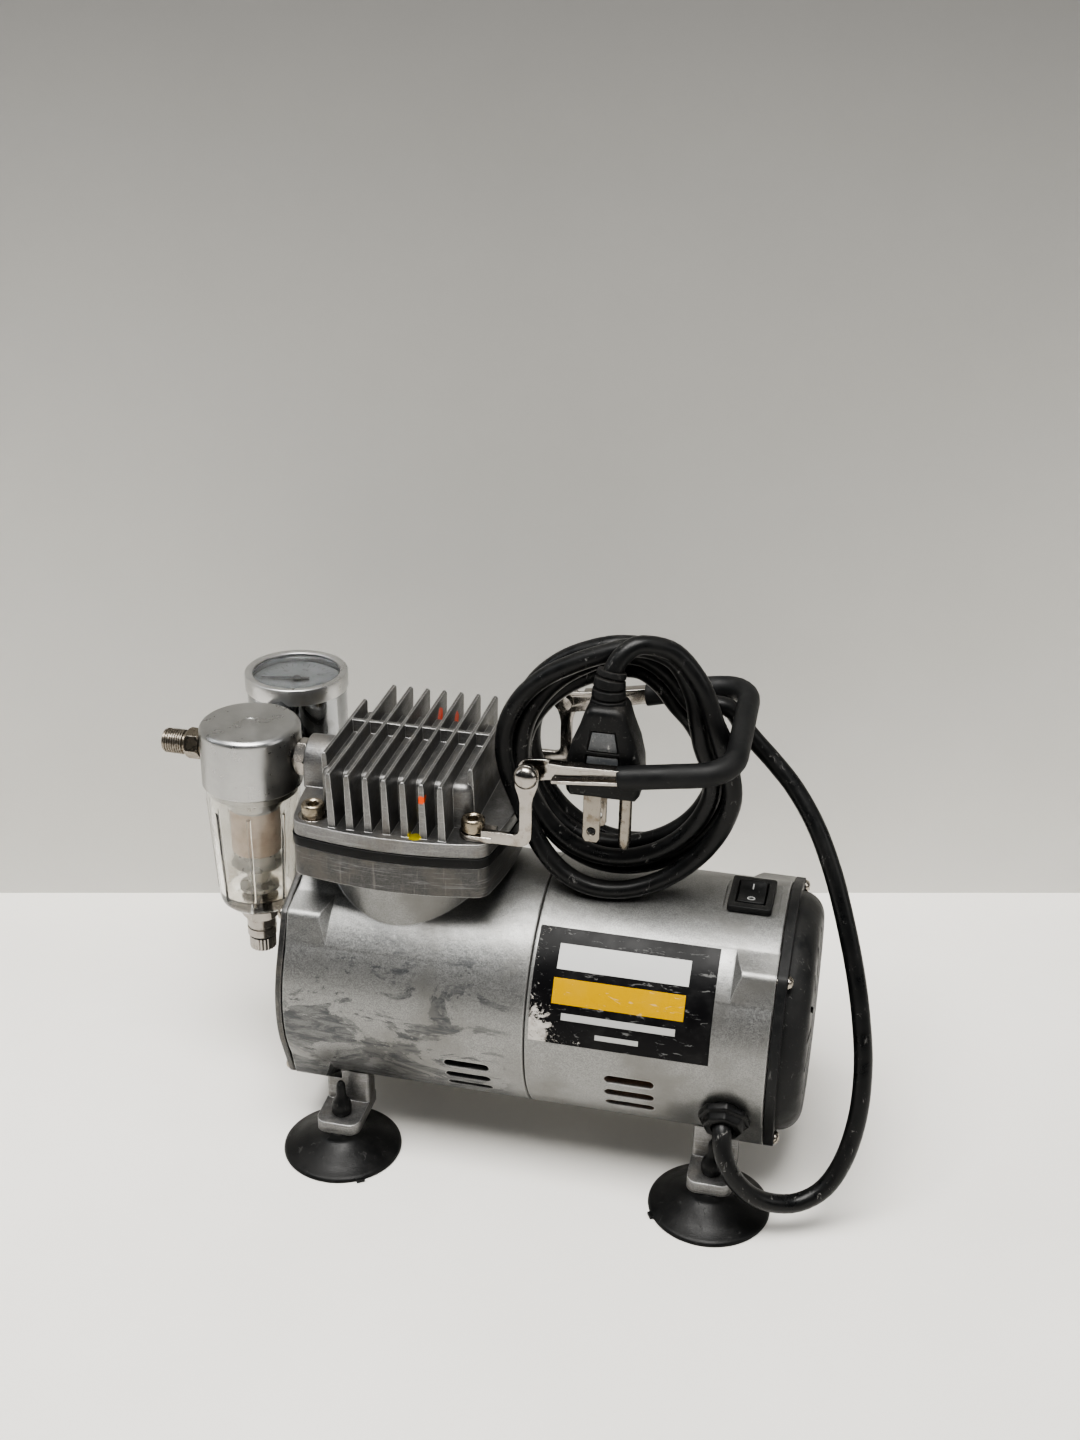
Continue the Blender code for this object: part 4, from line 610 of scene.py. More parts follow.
def sweep(name, points, section, up_side, scales=None):
    """Carry a closed (across, up) section along points, in machine millimetres."""
    shape = bmesh.new()
    rings = []
    for index, point in enumerate(points):
        ahead = points[min(index + 1, len(points) - 1)]
        behind = points[max(index - 1, 0)]
        heading = (ahead - behind).normalized()
        across = heading.cross(Vector(up_side)).normalized()
        up = across.cross(heading).normalized()
        size = scales[index] if scales else 1.0
        rings.append([shape.verts.new(point + (across * u + up * v) * size) for u, v in section])
    count = len(section)
    for first, second in zip(rings, rings[1:]):
        for index in range(count):
            nxt = (index + 1) % count
            shape.faces.new((first[index], first[nxt], second[nxt], second[index]))
    shape.faces.new(rings[0])
    shape.faces.new(rings[-1])
    return to_object(name, shape)


def arc(centre, radius, start, end, steps, tall=None):
    """Points from start to end, in degrees, on a circle or on an ellipse with a tall radius."""
    tall = tall or radius
    angles = [math.radians(start + (end - start) * i / steps) for i in range(steps + 1)]
    return [(centre[0] + radius * math.cos(a), centre[1] + tall * math.sin(a)) for a in angles]


def circle(radius, segments):
    return arc((0, 0), radius, 2, 362 - 360 / segments, segments - 1)


def oval(wide, tall, segments):
    return arc((0, 0), wide, 0, 360 - 360 / segments, segments - 1, tall)


def smooth(controls, spacing):
    """Catmull-Rom curve through controls."""
    points = [Vector(c) for c in controls]
    ends = [points[0] * 2 - points[1]] + points + [points[-1] * 2 - points[-2]]
    route = []
    for before, start, end, after in zip(ends, ends[1:], ends[2:], ends[3:]):
        steps = max(1, round((end - start).length / spacing))
        for index in range(steps):
            t = index / steps
            route.append(0.5 * (2 * start + (end - before) * t
                                + (2 * before - 5 * start + 4 * end - after) * t ** 2
                                + (3 * start - before - 3 * end + after) * t ** 3))
    route.append(points[-1])
    return route


def squared_tube(radius, between, gap, reach, steps):
    """Round corners of the squared ends, with arcs of the radius between in their gaps."""
    out = (radius - CORNER_FILLET) / math.cos(math.radians(CORNER_HALF))
    points = []
    for middle in range(45, 405, 90):
        centre = (out * math.cos(math.radians(middle)), out * math.sin(math.radians(middle)))
        points += arc((0, 0), between, middle - 45, middle - gap, steps)
        points += arc(centre, CORNER_FILLET, middle - CORNER_HALF, middle + CORNER_HALF, 6)
        points += arc((0, 0), between, middle + gap, middle + reach, steps - 1)
    return points


def corner_outline(radius):
    return squared_tube(radius, radius, CORNER_HALF, 43, 10)


def barrel_square(half):
    """Square with rounded corners and sides that bulge out a little."""
    bulge, fillet, steps = 3.5, 6.0, 12
    spread = [-0.92 + 1.84 * index / steps for index in range(steps + 1)]
    side = [(half + bulge * (1 - t * t), (half - fillet) * t) for t in spread]
    side += arc((half - fillet, half - fillet), fillet, 4, 86, 7)
    turns = [math.radians(90 * quarter) for quarter in range(4)]
    return [(math.cos(turn) * x - math.sin(turn) * y, math.sin(turn) * x + math.cos(turn) * y)
            for turn in turns for x, y in side]


def rounded_rect(low, high, fillet, steps):
    (left, near), (right, far) = [n + fillet for n in low], [n - fillet for n in high]
    corners = (((right, far), 0), ((left, far), 90), ((left, near), 180), ((right, near), 270))
    return [p for centre, start in corners for p in arc(centre, fillet, start, start + 90, steps)]


# ------------------------------------------------------------------ castings
def end_corners(name, face, direction):
    """Four corner ribs at one end of the tube, running out on a cone."""
    length = 17.6
    start = min(face, face + direction * length)
    outline = squared_tube(BODY_R, BODY_R - 1.6, 31, 40, 3)
    ring = slab(name, [outline, circle(BODY_R - 2.4, 90)], length, at(start, 0, SHAFT_Z) @ FACE_X)
    profile = [(0, 0), (BODY_R - 1, 0), (BODY_R + 8.3, -8.4), (BODY_R + 8.3, -30), (0, -30)]
    if direction < 0:
        profile = [(r, -h) for r, h in reversed(profile)]
    ramp = lathe("ramp", profile, at(face + direction * 16.6, 0, SHAFT_Z) @ X_AXIS, 120)
    return combine(ring, [ramp], 'INTERSECT')


def slots(start, end, angles):
    """Cutters of the cooling slots, low on both sides of the tube."""
    outline = rounded_rect((start, -2.0), (end, 2.0), 1.95, 6)
    tilts = [side * (angle - 90) for side in (-1, 1) for angle in angles]
    return [slab("slot", [outline], 16, at(0, 0, SHAFT_Z) @ spin(tilt, 'X') @ at(0, 0, 38))
            for tilt in tilts]


def end_holes(start, length, radius):
    return [rod("hole", radius, length, at(start, s * END_SCREW, SHAFT_Z + u * END_SCREW) @ X_AXIS, 20)
            for s, u in CORNERS]


def shell(name, low, high, web_start, web_end):
    """Half of the tube, with a web that carries a bearing."""
    inner, seat, edge = BODY_R - WALL, 11.3, 0.5
    profile = [(BODY_R, high - edge), (BODY_R - edge, high), (inner, high), (inner, web_end),
               (seat, web_end), (seat, web_start), (inner, web_start), (inner, low),
               (BODY_R - edge, low), (BODY_R, low + edge)]
    return lathe(name, profile, at(0, 0, SHAFT_Z) @ X_AXIS, 180)


def crankcase():
    item = shell("crankcase", FRONT_X + 0.1, SEAM_X - 0.15, -26, -18)
    neck = [(0, 118.7), (32.8, 118.7), (33.3, 118.2), (33.3, 98), (0, 98)]
    add(item, end_corners("front_corners", FRONT_X, 1), lathe("neck", neck, at(HEAD_X, 0, 0), 120))
    cut(item, rod("neck_bore", 18, 40, at(HEAD_X, 0, 88), 64), *slots(-32, -14.5, (-17, -26, -35)),
        *end_holes(FRONT_X - 1, 11, 1.5))
    finish(item, SILVER, "silver_paint", "crankcase_front", sharp=28)


def motor_housing():
    item = shell("motor_housing", SEAM_X + 0.15, REAR_X - 0.1, 60, 68)
    add(item, end_corners("rear_corners", REAR_X, -1))
    pad = slab("pad", [rounded_rect((65, -14), (85.5, 12), 2.5, 4)], 8, at(0, 0, 112))
    hole = brick("switch_hole", (68.3, -10.5, 100), (81.3, 8.5, 120))
    cut(item, pad, hole, *slots(29.5, 48, (-11.5, -20.5, -29.5)), *end_holes(REAR_X - 10, 11, 1.5),
        gland_rod("gland_hole", 6.7, -12, 12))
    finish(item, SILVER, "silver_paint", "motor_housing_rear", sharp=28)


def gland_rod(name, radius, start, end, segments=48, tip=None, phase=0.0):
    """Rod on the cord gland's axis, from start to end above the housing's skin."""
    place = at(74.4, 0, SHAFT_Z) @ spin(112.5, 'X') @ at(0, 0, BODY_R + start) @ spin(phase)
    return rod(name, radius, end - start, place, segments, tip)


def cross_screw(name, node, place):
    radius, tall = 2.7, 2.0
    profile = [(0, tall), (radius * 0.45, tall * 0.96), (radius * 0.8, tall * 0.68), (radius, 0.25),
               (radius - 0.2, 0.0), (1.3, 0), (1.3, -8), (0, -8.6)]
    item = lathe(name, profile, place, 40)
    for turn in (25, 115):
        cut(item, brick("recess", (-1.55, -0.3, tall * 0.45), (1.55, 0.3, tall + 1), place @ spin(turn)))
    finish(item, SCREW, "nickel_plate", node)


def ends():
    plate = slab("front_end_plate", [corner_outline(BODY_R - 0.2)], 2.4,
                 at(FRONT_X - 2.7, 0, SHAFT_Z) @ FACE_X)
    cut(plate, *end_holes(FRONT_X - 4, 5, 1.8))
    finish(rounded(plate, 0.35, 2, 40), PLATE, "silver_paint", "front_plate")
    for number, (s, u) in enumerate(CORNERS, 1):
        y, z = s * END_SCREW, SHAFT_Z + u * END_SCREW
        cross_screw(f"front_screw_{number}", f"front_plate_screw_{number}", at(FRONT_X - 2.7, y, z) @ MINUS_X)
        cross_screw(f"rear_screw_{number}", f"rear_cover_screw_{number}", at(REAR_X + 3.9, y, z) @ X_AXIS)


def rear_cover():
    base, tip, outer = REAR_X + 0.3, 101.6, 45.4
    item = slab("fan_cover", [corner_outline(BODY_R), circle(44.4, 90)], 3.6,
                at(base, 0, SHAFT_Z) @ FACE_X)
    profile = [(0, tip), (20, tip), (35, tip - 0.3)]
    profile += arc((36.0, tip - 9.3), 9.4, 90, 0, 9, 9.0)
    profile += [(outer, base + 1), (43.3, base + 1), (43.3, tip - 9)]
    profile += arc((35.6, tip - 9.3), 7.7, 10, 90, 4, 7.0) + [(0, tip - 2.3)]
    add(item, lathe("dome", profile, at(0, 0, SHAFT_Z) @ X_AXIS, 160))
    outline = rounded_rect((21.0, -1.2), (38.0, 1.2), 1.15, 4)
    vents = [slab("vent", [outline], 12, at(tip - 5, 0, SHAFT_Z) @ spin(18 * number, 'X') @ FACE_X)
             for number in range(20)]
    cut(item, *vents, *end_holes(base - 1, 6, 1.8))
    for radius in (14.0, 17.5):
        low, high = radius - 0.35, radius + 0.35
        ring = [(high, 1), (high, -0.5), (low, -0.5), (low, 1)]
        cut(item, lathe("ring", ring, at(tip, 0, SHAFT_Z) @ X_AXIS, 90))
    finish(item, COVER, "black_plastic", "rear_cover", sharp=30)


def patch(name, x0, x1, a0, a1, lift, material, steps):
    """Thin sheet on the housing, from x0 to x1 and from a0 to a1 degrees up its side."""
    shape = bmesh.new()
    rows = []
    for across, up in arc((0, SHAFT_Z), BODY_R + lift, a0, a1, steps):
        rows.append([shape.verts.new((x0 + (x1 - x0) * j / 20, -across, up)) for j in range(21)])
    for low, high in zip(rows, rows[1:]):
        for j in range(20):
            shape.faces.new((low[j], low[j + 1], high[j + 1], high[j]))
    finish(to_object(name, shape), material, "black_plastic")


def label():
    """Worn black label wrapped on the housing, with plain coloured bars."""
    patch("label_paper", 0.7, 67.2, 4.3, 55.9, 0.07, LABEL_PAPER, 28)
    patch("label", 0.6, 67.3, 4.2, 56.0, 0.11, LABEL, 28)
    patch("label_bar_white", 9.0, 57.5, 37.5, 48.8, 0.15, LABEL_WHITE, 8)
    patch("label_bar_yellow", 8.5, 57.0, 22.5, 33.8, 0.15, LABEL_YELLOW, 8)
    patch("label_line_1", 12.5, 54.5, 15.6, 18.8, 0.15, LABEL_GREY, 4)
    patch("label_line_2", 25.5, 41.5, 8.6, 11.0, 0.15, LABEL_GREY, 4)


# ------------------------------------------------------------------ cylinder and head
def bolts_at(z):
    return [at(HEAD_X + s * BOLT, b * BOLT, z) for s, b in CORNERS]


def bolt_holes(bottom, top, radius):
    return [rod("bolt", radius, top - bottom, place, 24) for place in bolts_at(bottom)]


def cylinder_and_gasket():
    block = slab("cylinder_flange", [barrel_square(37.5)], 12.2, at(HEAD_X, 0, 119))
    add(block, rod("liner", 17.6, 17, at(HEAD_X, 0, 104), 64))
    cut(block, rod("bore", 16, 40, at(HEAD_X, 0, 100), 64), *bolt_holes(121, 134, 2.6))
    finish(rounded(block, 0.5, 3, 45), BLOCK, "raw_aluminium", "cylinder_block")
    gasket = slab("valve_gasket", [barrel_square(37.9)], 3.7, at(HEAD_X, 0, 131.5))
    cut(gasket, *bolt_holes(130, 137, 2.8))
    finish(rounded(gasket, 0.5, 3, 45), GASKET, "black_plastic", "head_gasket")


def fin(x, half):
    """Tapered fin: thinner towards its rounded top, its ends leaning outwards."""
    shape = bmesh.new()
    low, high = 139.5, 164.0
    rings = [[shape.verts.new((x + u * thick, v * reach, z))
              for u, v in ((-1, -1), (1, -1), (1, 1), (-1, 1))]
             for z, thick, reach in ((low, 1.45, half - 2.6), (high - 1.0, 0.95, half - 0.1),
                                     (high, 0.55, half - 0.5))]
    for first, second in zip(rings, rings[1:]):
        for i in range(4):
            shape.faces.new((first[i], first[(i + 1) % 4], second[(i + 1) % 4], second[i]))
    shape.faces.new(rings[0][::-1])
    shape.faces.new(rings[-1])
    return to_object("fin", shape)


def head():
    item = slab("finned_head", [barrel_square(37.5)], 5.5, at(HEAD_X, 0, 135.5))
    core = rounded(brick("core", (HEAD_X - 28.5, -27, 140), (HEAD_X + 28.5, 27, 158.5)), 3.0, 4, 60)
    add(item, core)
    pitch = 6.92
    add(item, *[fin(HEAD_X + n * pitch, 24.5 if abs(n) == 4 else 40.2) for n in range(-4, 5)])
    rib = brick("rib", (HEAD_X - 27.7, 6.0, 156), (HEAD_X + 27.7, 7.8, 163.6))
    boss = arc((0, PORT_Z), 9.4, 0, 180, 28) + [(-9.4, 140), (9.4, 140)]
    port = slab("boss", [boss], 20.6, at(-96.9, 0, 0) @ FACE_X)
    add(item, rib, rounded(port, 0.8, 3, 50))
    cut(item, rod("port_bore", 5.15, 9, at(-99.3, 0, PORT_Z) @ X_AXIS, 32),
        *bolt_holes(134, 153, 2.8),
        *[rod("face", 4.9, 20, place, 40) for place in bolts_at(140.99)])
    finish(item, FINS, "raw_aluminium", "cylinder_head", sharp=30)


def head_screws():
    """Socket screws: the front pair on washers, the rear pair on the brackets' tabs."""
    profile = [(0, 5), (3.6, 5), (4.15, 4.6), (4.3, 4.2), (4.3, 0.2), (4.1, 0), (2.3, 0), (2.3, -15),
               (0, -15)]
    ring = [(5.6, 0.28), (5.6, 0), (2.8, 0), (2.8, 0.28)]
    for number, place in enumerate(bolts_at(TAB_Z), 1):
        on_washer = number < 3
        if not on_washer:
            place = at(0, 0, 2.3) @ place
        item = lathe(f"cap_screw_{number}", profile, place, 60)
        cut(item, rod("socket", 2.4, 4, place @ at(0, 0, 2.2), 6),
            rod("chamfer", 2.3, 0.6, place @ at(0, 0, 4.5), 40, 2.9))
        finish(item, BRASS, "nickelled_brass", f"head_screw_{number}")
        if on_washer:
            washer = lathe(f"cap_washer_{number}", ring, place @ at(0, 0, -0.29), 48)
            finish(washer, NICKEL, "nickel_plate")


# ------------------------------------------------------------------ handle
def brackets():
    """Bent legs that rise from the rear head screws to the handle's pivots."""
    post, ear, thick, foot, left = 2.2, 4.3, 2.0, TAB_Z - PIVOT.z, HEAD_X + BOLT + 4.0 - PIVOT.x
    neck = [(post, -10.5), (post + 0.5, -8.0), (ear - 0.4, -4.5)]
    outline = [(left, foot), (-2.6, foot)] + arc((-2.6, foot + 4.8), 4.8, -85, 0, 8)
    outline += [(post + 0.1, foot + 10.7)] + neck + arc((0, 0), ear, -5, 185, 18)
    outline += [(-across, up) for across, up in reversed(neck)] + [(-post, foot + 7.0)]
    outline += arc((-post - 2.4, foot + 7.0), 2.4, 0, -90, 5) + [(left, foot + 4.6)]
    eye = arc((0, 0), 5.0, 90, 270, 20) + [(8, -5), (8, 5)]
    for node, side in (("handle_bracket_front", -1), ("handle_bracket_rear", 1)):
        outer = side * (ARM_Y + 4.5)
        leg = slab(node + "_leg", [outline], thick,
                   at(PIVOT.x, max(outer, outer - side * thick), PIVOT.z) @ FACE_Y)
        seat = at(HEAD_X + BOLT, side * BOLT, TAB_Z)
        add(leg, slab("tab", [eye], thick, seat))
        cut(leg, rod("eye_hole", 2.7, 8, seat @ at(0, 0, -1.3), 32),
            rod("rivet", 1.9, 10, at(PIVOT.x, outer + 5, PIVOT.z) @ FACE_Y, 24))
        finish(rounded(leg, 0.35, 3, 50), NICKEL, "nickel_plate", node)


def rivets():
    profile = [(0, 3.3)] + arc((0, 0.5), 4.4, 78, 8, 5, 2.8)
    profile += [(4.4, 0.25), (4.1, 0), (1.5, 0), (1.5, -7.3), (3.0, -7.3), (3.0, -8.3), (0, -8.6)]
    for node, side in (("handle_rivet_front", -1), ("handle_rivet_rear", 1)):
        place = at(PIVOT.x, side * (ARM_Y + 4.8), PIVOT.z) @ spin(-90 * side, 'X')
        finish(lathe(node + "_dome", profile, place, 64), NICKEL, "nickel_plate", node)


HANDLE = Matrix.Translation(PIVOT) @ spin(-BAIL_TILT, 'Y')


def handle_twist(x, y):
    """The used handle is bent: its front arm sags and its rear arm stands higher."""
    front = -3.8 * ease((x - 5) / 24)
    rear = 2.8 * ease((x - 14) / 44)
    share = min(1.0, max(0.0, (y + ARM_Y) / (2 * ARM_Y)))
    return front + (rear - front) * share


def twisted(item):
    place = TO_WORLD @ HANDLE
    back = place.inverted()
    for vertex in item.data.vertices:
        local = back @ vertex.co
        local.z += handle_twist(local.x, local.y)
        vertex.co = place @ local
    return item


def tapered(start, half, side):
    """Upper (side 1) or lower edge of an arm: stops with points filled in between them."""
    stops = [(start, half), (13.0, 3.6), (40.0, 2.6), (58.0, 2.3)]
    points = []
    for (x0, h0), (x1, h1) in zip(stops, stops[1:]):
        steps = max(1, round((x1 - x0) / 4))
        points += [(x0 + (x1 - x0) * i / steps, (h0 + (h1 - h0) * i / steps) * side)
                   for i in range(steps)]
    return points + [(stops[-1][0], stops[-1][1] * side)]


def bail_line(start):
    corner = 12.0
    flat = BAIL_LENGTH - corner
    line = [(start, -ARM_Y), ((start + flat) / 2, -ARM_Y)]
    line += arc((flat, -ARM_Y + corner), corner, -90, 0, 7) + arc((flat, ARM_Y - corner), corner, 0, 90, 7)
    line += [((start + flat) / 2, ARM_Y), (start, ARM_Y)]
    return [HANDLE @ Vector((x, y, 0)) for x, y in line]


def handle():
    """Two pressed channel arms with flat eyes, and the sleeve over the crossbar."""
    for name, side, nodes in (("handle_arm_front", -1, ["handle_bail"]), ("handle_arm_rear", 1, [])):
        outline = arc((0, 0), 4.2, 90, 270, 16) + tapered(6.0, 4.0, -1) + tapered(6.0, 4.0, 1)[::-1]
        web = max(side * (ARM_Y - 1.9), side * (ARM_Y - 0.8))
        arm = slab(name, [outline], 1.1, HANDLE @ at(0, web, 0) @ FACE_Y)
        rim = max(side * (ARM_Y - 1.5), side * (ARM_Y + 2.2))
        for sign in (-1, 1):
            flange = tapered(8.0, 3.9, sign)
            flange += [(u, v - 1.2 * sign) for u, v in reversed(flange)]
            add(arm, slab("flange", [flange[::-sign]], 3.7, HANDLE @ at(0, rim, 0) @ FACE_Y))
        cut(arm, rod("pin_hole", 1.8, 10, HANDLE @ at(0, side * ARM_Y + 5, 0) @ FACE_Y, 24))
        finish(twisted(rounded(arm, 0.4, 3, 50)), NICKEL, "nickel_plate", *nodes, body="handle")
    sleeve = sweep("handle_sleeve", smooth(bail_line(31.7), 2.0), oval(4.1, 4.3, 32),
                   HANDLE.to_3x3() @ Vector((0, 0, 1)))
    finish(twisted(rounded(sleeve, 0.7, 3, 60)), GRIP, "black_plastic", "handle_grip", body="handle")


# ------------------------------------------------------------------ feet
def feet():
    for end, foot_x in FOOT_X.items():
        for side, hand in ((-1, "right"), (1, "left")):
            bracket(f"{end}_{hand}", foot_x, side)
            cup(f"{end}_{hand}", foot_x, side * CUP_Y)


def bracket(where, foot_x, side):
    half, inner, outer, fillet = 8.6, 25.0, 49.4, 4.4
    tab = arc((half - fillet, outer - fillet), fillet, 0, 90, 8)
    tab += arc((fillet - half, outer - fillet), fillet, 90, 180, 8) + [(-half, inner), (half, inner)]
    tab = [(foot_x + side * across, side * out) for across, out in tab]
    item = slab(f"foot_lug_{where}", [tab], 4.8, at(0, 0, 11.2))
    low, high = sorted((side * inner, side * 34.0))
    leg = rounded(brick("leg", (foot_x - half, low, 12), (foot_x + half, high, 40)), 1.6, 3, 60)
    add(item, leg)
    end = FRONT_X - 1 if foot_x < 0 else REAR_X - 17.8
    cut(item, rod("body", BODY_R + 0.4, 300, at(-140, 0, SHAFT_Z) @ X_AXIS, 160),
        slab("corners", [corner_outline(BODY_R + 0.5)], 18.8, at(end, 0, SHAFT_Z) @ FACE_X),
        rod("stem_hole", 3.3, 20, at(foot_x, side * CUP_Y, 5), 40))
    finish(rounded(item, 0.7, 3, 40), CAST, "raw_aluminium", f"foot_bracket_{where}")


def cup(where, x, y):
    under, over = 10.9, 16.3
    profile = [(0, over + 14.6), (0.9, over + 14.4), (1.6, over + 13.4), (1.85, over + 11.2),
               (1.9, over + 8.4), (2.3, over + 7.2), (3.4, over + 5.4), (3.9, over + 3.4),
               (3.9, over + 1.2), (3.6, over + 0.1), (3.0, over), (3.0, under), (7.6, under),
               (8.1, under - 0.5), (8.3, under - 2.0), (9.6, under - 3.2), (13.5, 6.1), (18.0, 3.7),
               (21.4, 2.0), (22.4, 1.7), (23.0, 1.1), (23.1, 0.4), (22.8, 0), (20.6, 0), (17.0, 1.5),
               (11, 3.2), (0, 4.6)]
    item = lathe(f"cup_{where}", profile, at(x, y, 0), 120)
    place = at(x, y, 0) @ spin(35 if x < 0 else -60)
    add(item, brick("flash", (-1.6, -24.3, 0.3), (1.6, -22.2, 1.3), place))
    finish(item, RUBBER, "black_rubber", f"suction_cup_{where}", sharp=40)


# ------------------------------------------------------------------ switch and gland
def switch():
    """Frame in the pad, rocker with a hollow top and its two marks, tipped to off."""
    def box(half_x, half_y, fillet, steps):
        return rounded_rect((-half_x, -half_y), (half_x, half_y), fillet, steps)

    base = at(74.8, -1.0, 112.3)
    bezel = slab("switch_bezel", [box(8.2, 11.2, 1.2, 4), box(5.6, 7.9, 0.5, 3)[::-1]], 2.4, base)
    bezel = rounded(bezel, 0.5, 3, 50)
    add(bezel, slab("can", [box(6.0, 9.0, 0.6, 3), box(5.4, 7.6, 0.5, 3)[::-1]], 8, base @ at(0, 0, -7.8)))
    finish(bezel, BLACK, "black_plastic", "switch_frame")
    top = [(-6.9, -2.4), (6.9, -2.4), (6.9, 2.6), (6.4, 3.0)]
    top += [(6.4 - 12.8 * t, 3.0 - 1.5 * (1 - (2 * t - 1) ** 2)) for t in [n / 10 for n in range(1, 10)]]
    top += [(-6.4, 3.0), (-6.9, 2.6)]
    turn = base @ at(0, 0, 0.4) @ spin(7, 'X')
    rocker = slab("rocker_key", [top], 10.0, turn @ at(-5.0, 0, 0) @ FACE_X)
    finish(rounded(rocker, 0.35, 3, 50), BLACK, "black_plastic", "switch_rocker", body="rocker")
    ring = [(1.5, 0.16), (1.5, -0.3), (1.05, -0.3), (1.05, 0.16)]
    off = lathe("mark_off", ring, turn @ at(0, -3.6, 2.06) @ spin(-15, 'X'), 40)
    on = brick("mark_on", (-0.22, -1.3, -0.3), (0.22, 1.3, 0.16), turn @ at(0, 3.6, 2.06) @ spin(15, 'X'))
    for mark in (off, on):
        finish(mark, MARK, "black_plastic", body="rocker")


def gland():
    item = gland_rod("gland_bushing", 9.9, 1.3, 4.2, 8, 9.6, 22.5)
    add(item, gland_rod("gland_nose", 8.4, 3.0, 7.2, 8, 7.4, 22.5))
    item = rounded(item, 0.6, 3, 25)
    add(item, gland_rod("gland_barrel", 6.4, -7, 3.0, 48))
    cut(item, gland_rod("gland_throat", 4.3, -9, 9, 48))
    finish(item, GLAND, "black_plastic", "cord_gland")


# ------------------------------------------------------------------ filter, valve, gauge
def thread(start, end, radius):
    """Zigzag (radius, height) stretch that reads as a screw thread, from its end down."""
    pitch, points = 0.9, [(radius * 0.92, end)]
    count = int((end - start) / pitch)
    for index in reversed(range(count)):
        z = start + (end - start) * index / count
        points += [(radius * 0.88, z + pitch * 0.62), (radius, z + pitch * 0.25), (radius, z)]
    return points


def hexagon(name, radius, start, end, place):
    nut = rod(name, radius, end - start, place @ at(0, 0, start), 6)
    cone = lathe("cone", [(0, end + 2), (radius * 0.80 - 1.0, end + 2), (radius * 0.90, end),
                          (radius * 1.08, end - 1.4), (radius * 1.08, start + 1.4),
                          (radius * 0.90, start), (0, start)], place, 64)
    return combine(nut, [cone], 'INTERSECT')


def fittings():
    out = at(FILTER_X - 15.5, 0, PORT_Z) @ MINUS_X
    profile = [(0, 19.9), (4.2, 19.9)] + thread(11.8, 19.6, 4.85)
    profile += [(4.1, 11.4), (4.1, 4.4), (4.85, 4.2), (4.85, 0), (0, 0)]
    item = lathe("outlet_thread", profile, out, 64)
    add(item, hexagon("outlet_hex", 6.1, 4.6, 10.2, out))
    cut(item, rod("outlet_bore", 2.6, 30, out @ at(0, 0, -2), 32))
    finish(item, BRONZE, "nickelled_brass", "outlet_nipple")
    joint = at(-106.4, 0, PORT_Z) @ X_AXIS
    item = rod("inlet_tube", 4.85, 12.5, joint, 48)
    add(item, hexagon("inlet_hex", 7.4, 4.6, 9.2, joint))
    cut(item, rod("inlet_bore", 2.2, 30, joint @ at(0, 0, -4), 32))
    finish(item, NICKEL, "nickelled_brass", "inlet_nipple")


FILTER = at(FILTER_X, 0, 0)


def filter_cap():
    cap_r, top, bottom = 19.5, 160.7, 135.5
    profile = [(0, top - 0.25), (3.0, top - 0.25), (3.4, top)]
    profile += arc((cap_r - 2.6, top - 2.6), 2.6, 90, 0, 6)
    profile += [(cap_r, bottom + 0.6), (cap_r - 0.6, bottom), (17.0, bottom), (17.0, bottom - 3),
                (5, bottom - 3), (5, bottom), (0, bottom)]
    cap = lathe("filter_lid", profile, FILTER, 160)
    port = FILTER @ at(0, 0, PORT_Z)
    ways = (MINUS_X @ at(0, 0, 9.5), X_AXIS @ at(0, 0, 9.5), spin(-90, 'X') @ at(0, 0, 10))
    cut(cap, *[rod("port", 5.2, 12, port @ way, 48) for way in ways])
    finish(cap, CAP, "turned_aluminium", "filter_cap", sharp=25)


def filter_bowl():
    rim, waist, heel = 135.2, (18.2, 130.6), (15.7, 86.4)
    outer = [(18.4, rim), waist, heel, (15.2, 84.4), (13.4, 82.6), (10.8, 81.9)]
    inner = [(3.2, 81.9), (3.2, 86.2), (9.6, 86.4), (13.4, 88.4), (17.4, 130.6), (17.4, rim)]
    bowl = lathe("clear_bowl", outer + inner, FILTER, 128)
    lean = spin(math.degrees(math.atan2(waist[0] - heel[0], waist[1] - heel[1])), 'Y')
    add(bowl, *[rod("rib", 0.9, 40, FILTER @ spin(45 * number + 14) @ at(15.5, 0, 87.5) @ lean, 12)
                for number in range(8)])
    finish(bowl, CLEAR, "clear_plastic", "filter_bowl", sharp=40)
    collar = [(0, 132.4), (10.8, 132.4), (10.8, 126.2), (10.3, 125.6), (10.3, 125.2), (0, 125.2)]
    finish(lathe("filter_collar", collar, FILTER, 96), CAP, "turned_aluminium")
    element = [(0, 125.0), (9.8, 125.0), (9.8, 107.6)]
    element += [(8.4 + 1.4 * math.cos(a), 107.2 - 1.4 * math.sin(a)) for a in (0.4, 0.9, 1.57)]
    element += [(7, 105.8), (0, 105.8)]
    finish(lathe("sintered_element", element, FILTER, 96), FELT, "filter_felt", "filter_element")
    baffle = [(0, 105.6), (8.6, 105.6), (8.8, 103.0), (9.6, 101.8), (10.4, 100.4), (9.8, 99.6),
              (5.0, 100.0), (4.4, 92), (7.6, 90.6), (7.8, 89.2), (2.0, 88.8), (0, 88.8)]
    finish(lathe("bowl_baffle", baffle, FILTER, 64), BAFFLE, "clear_plastic")


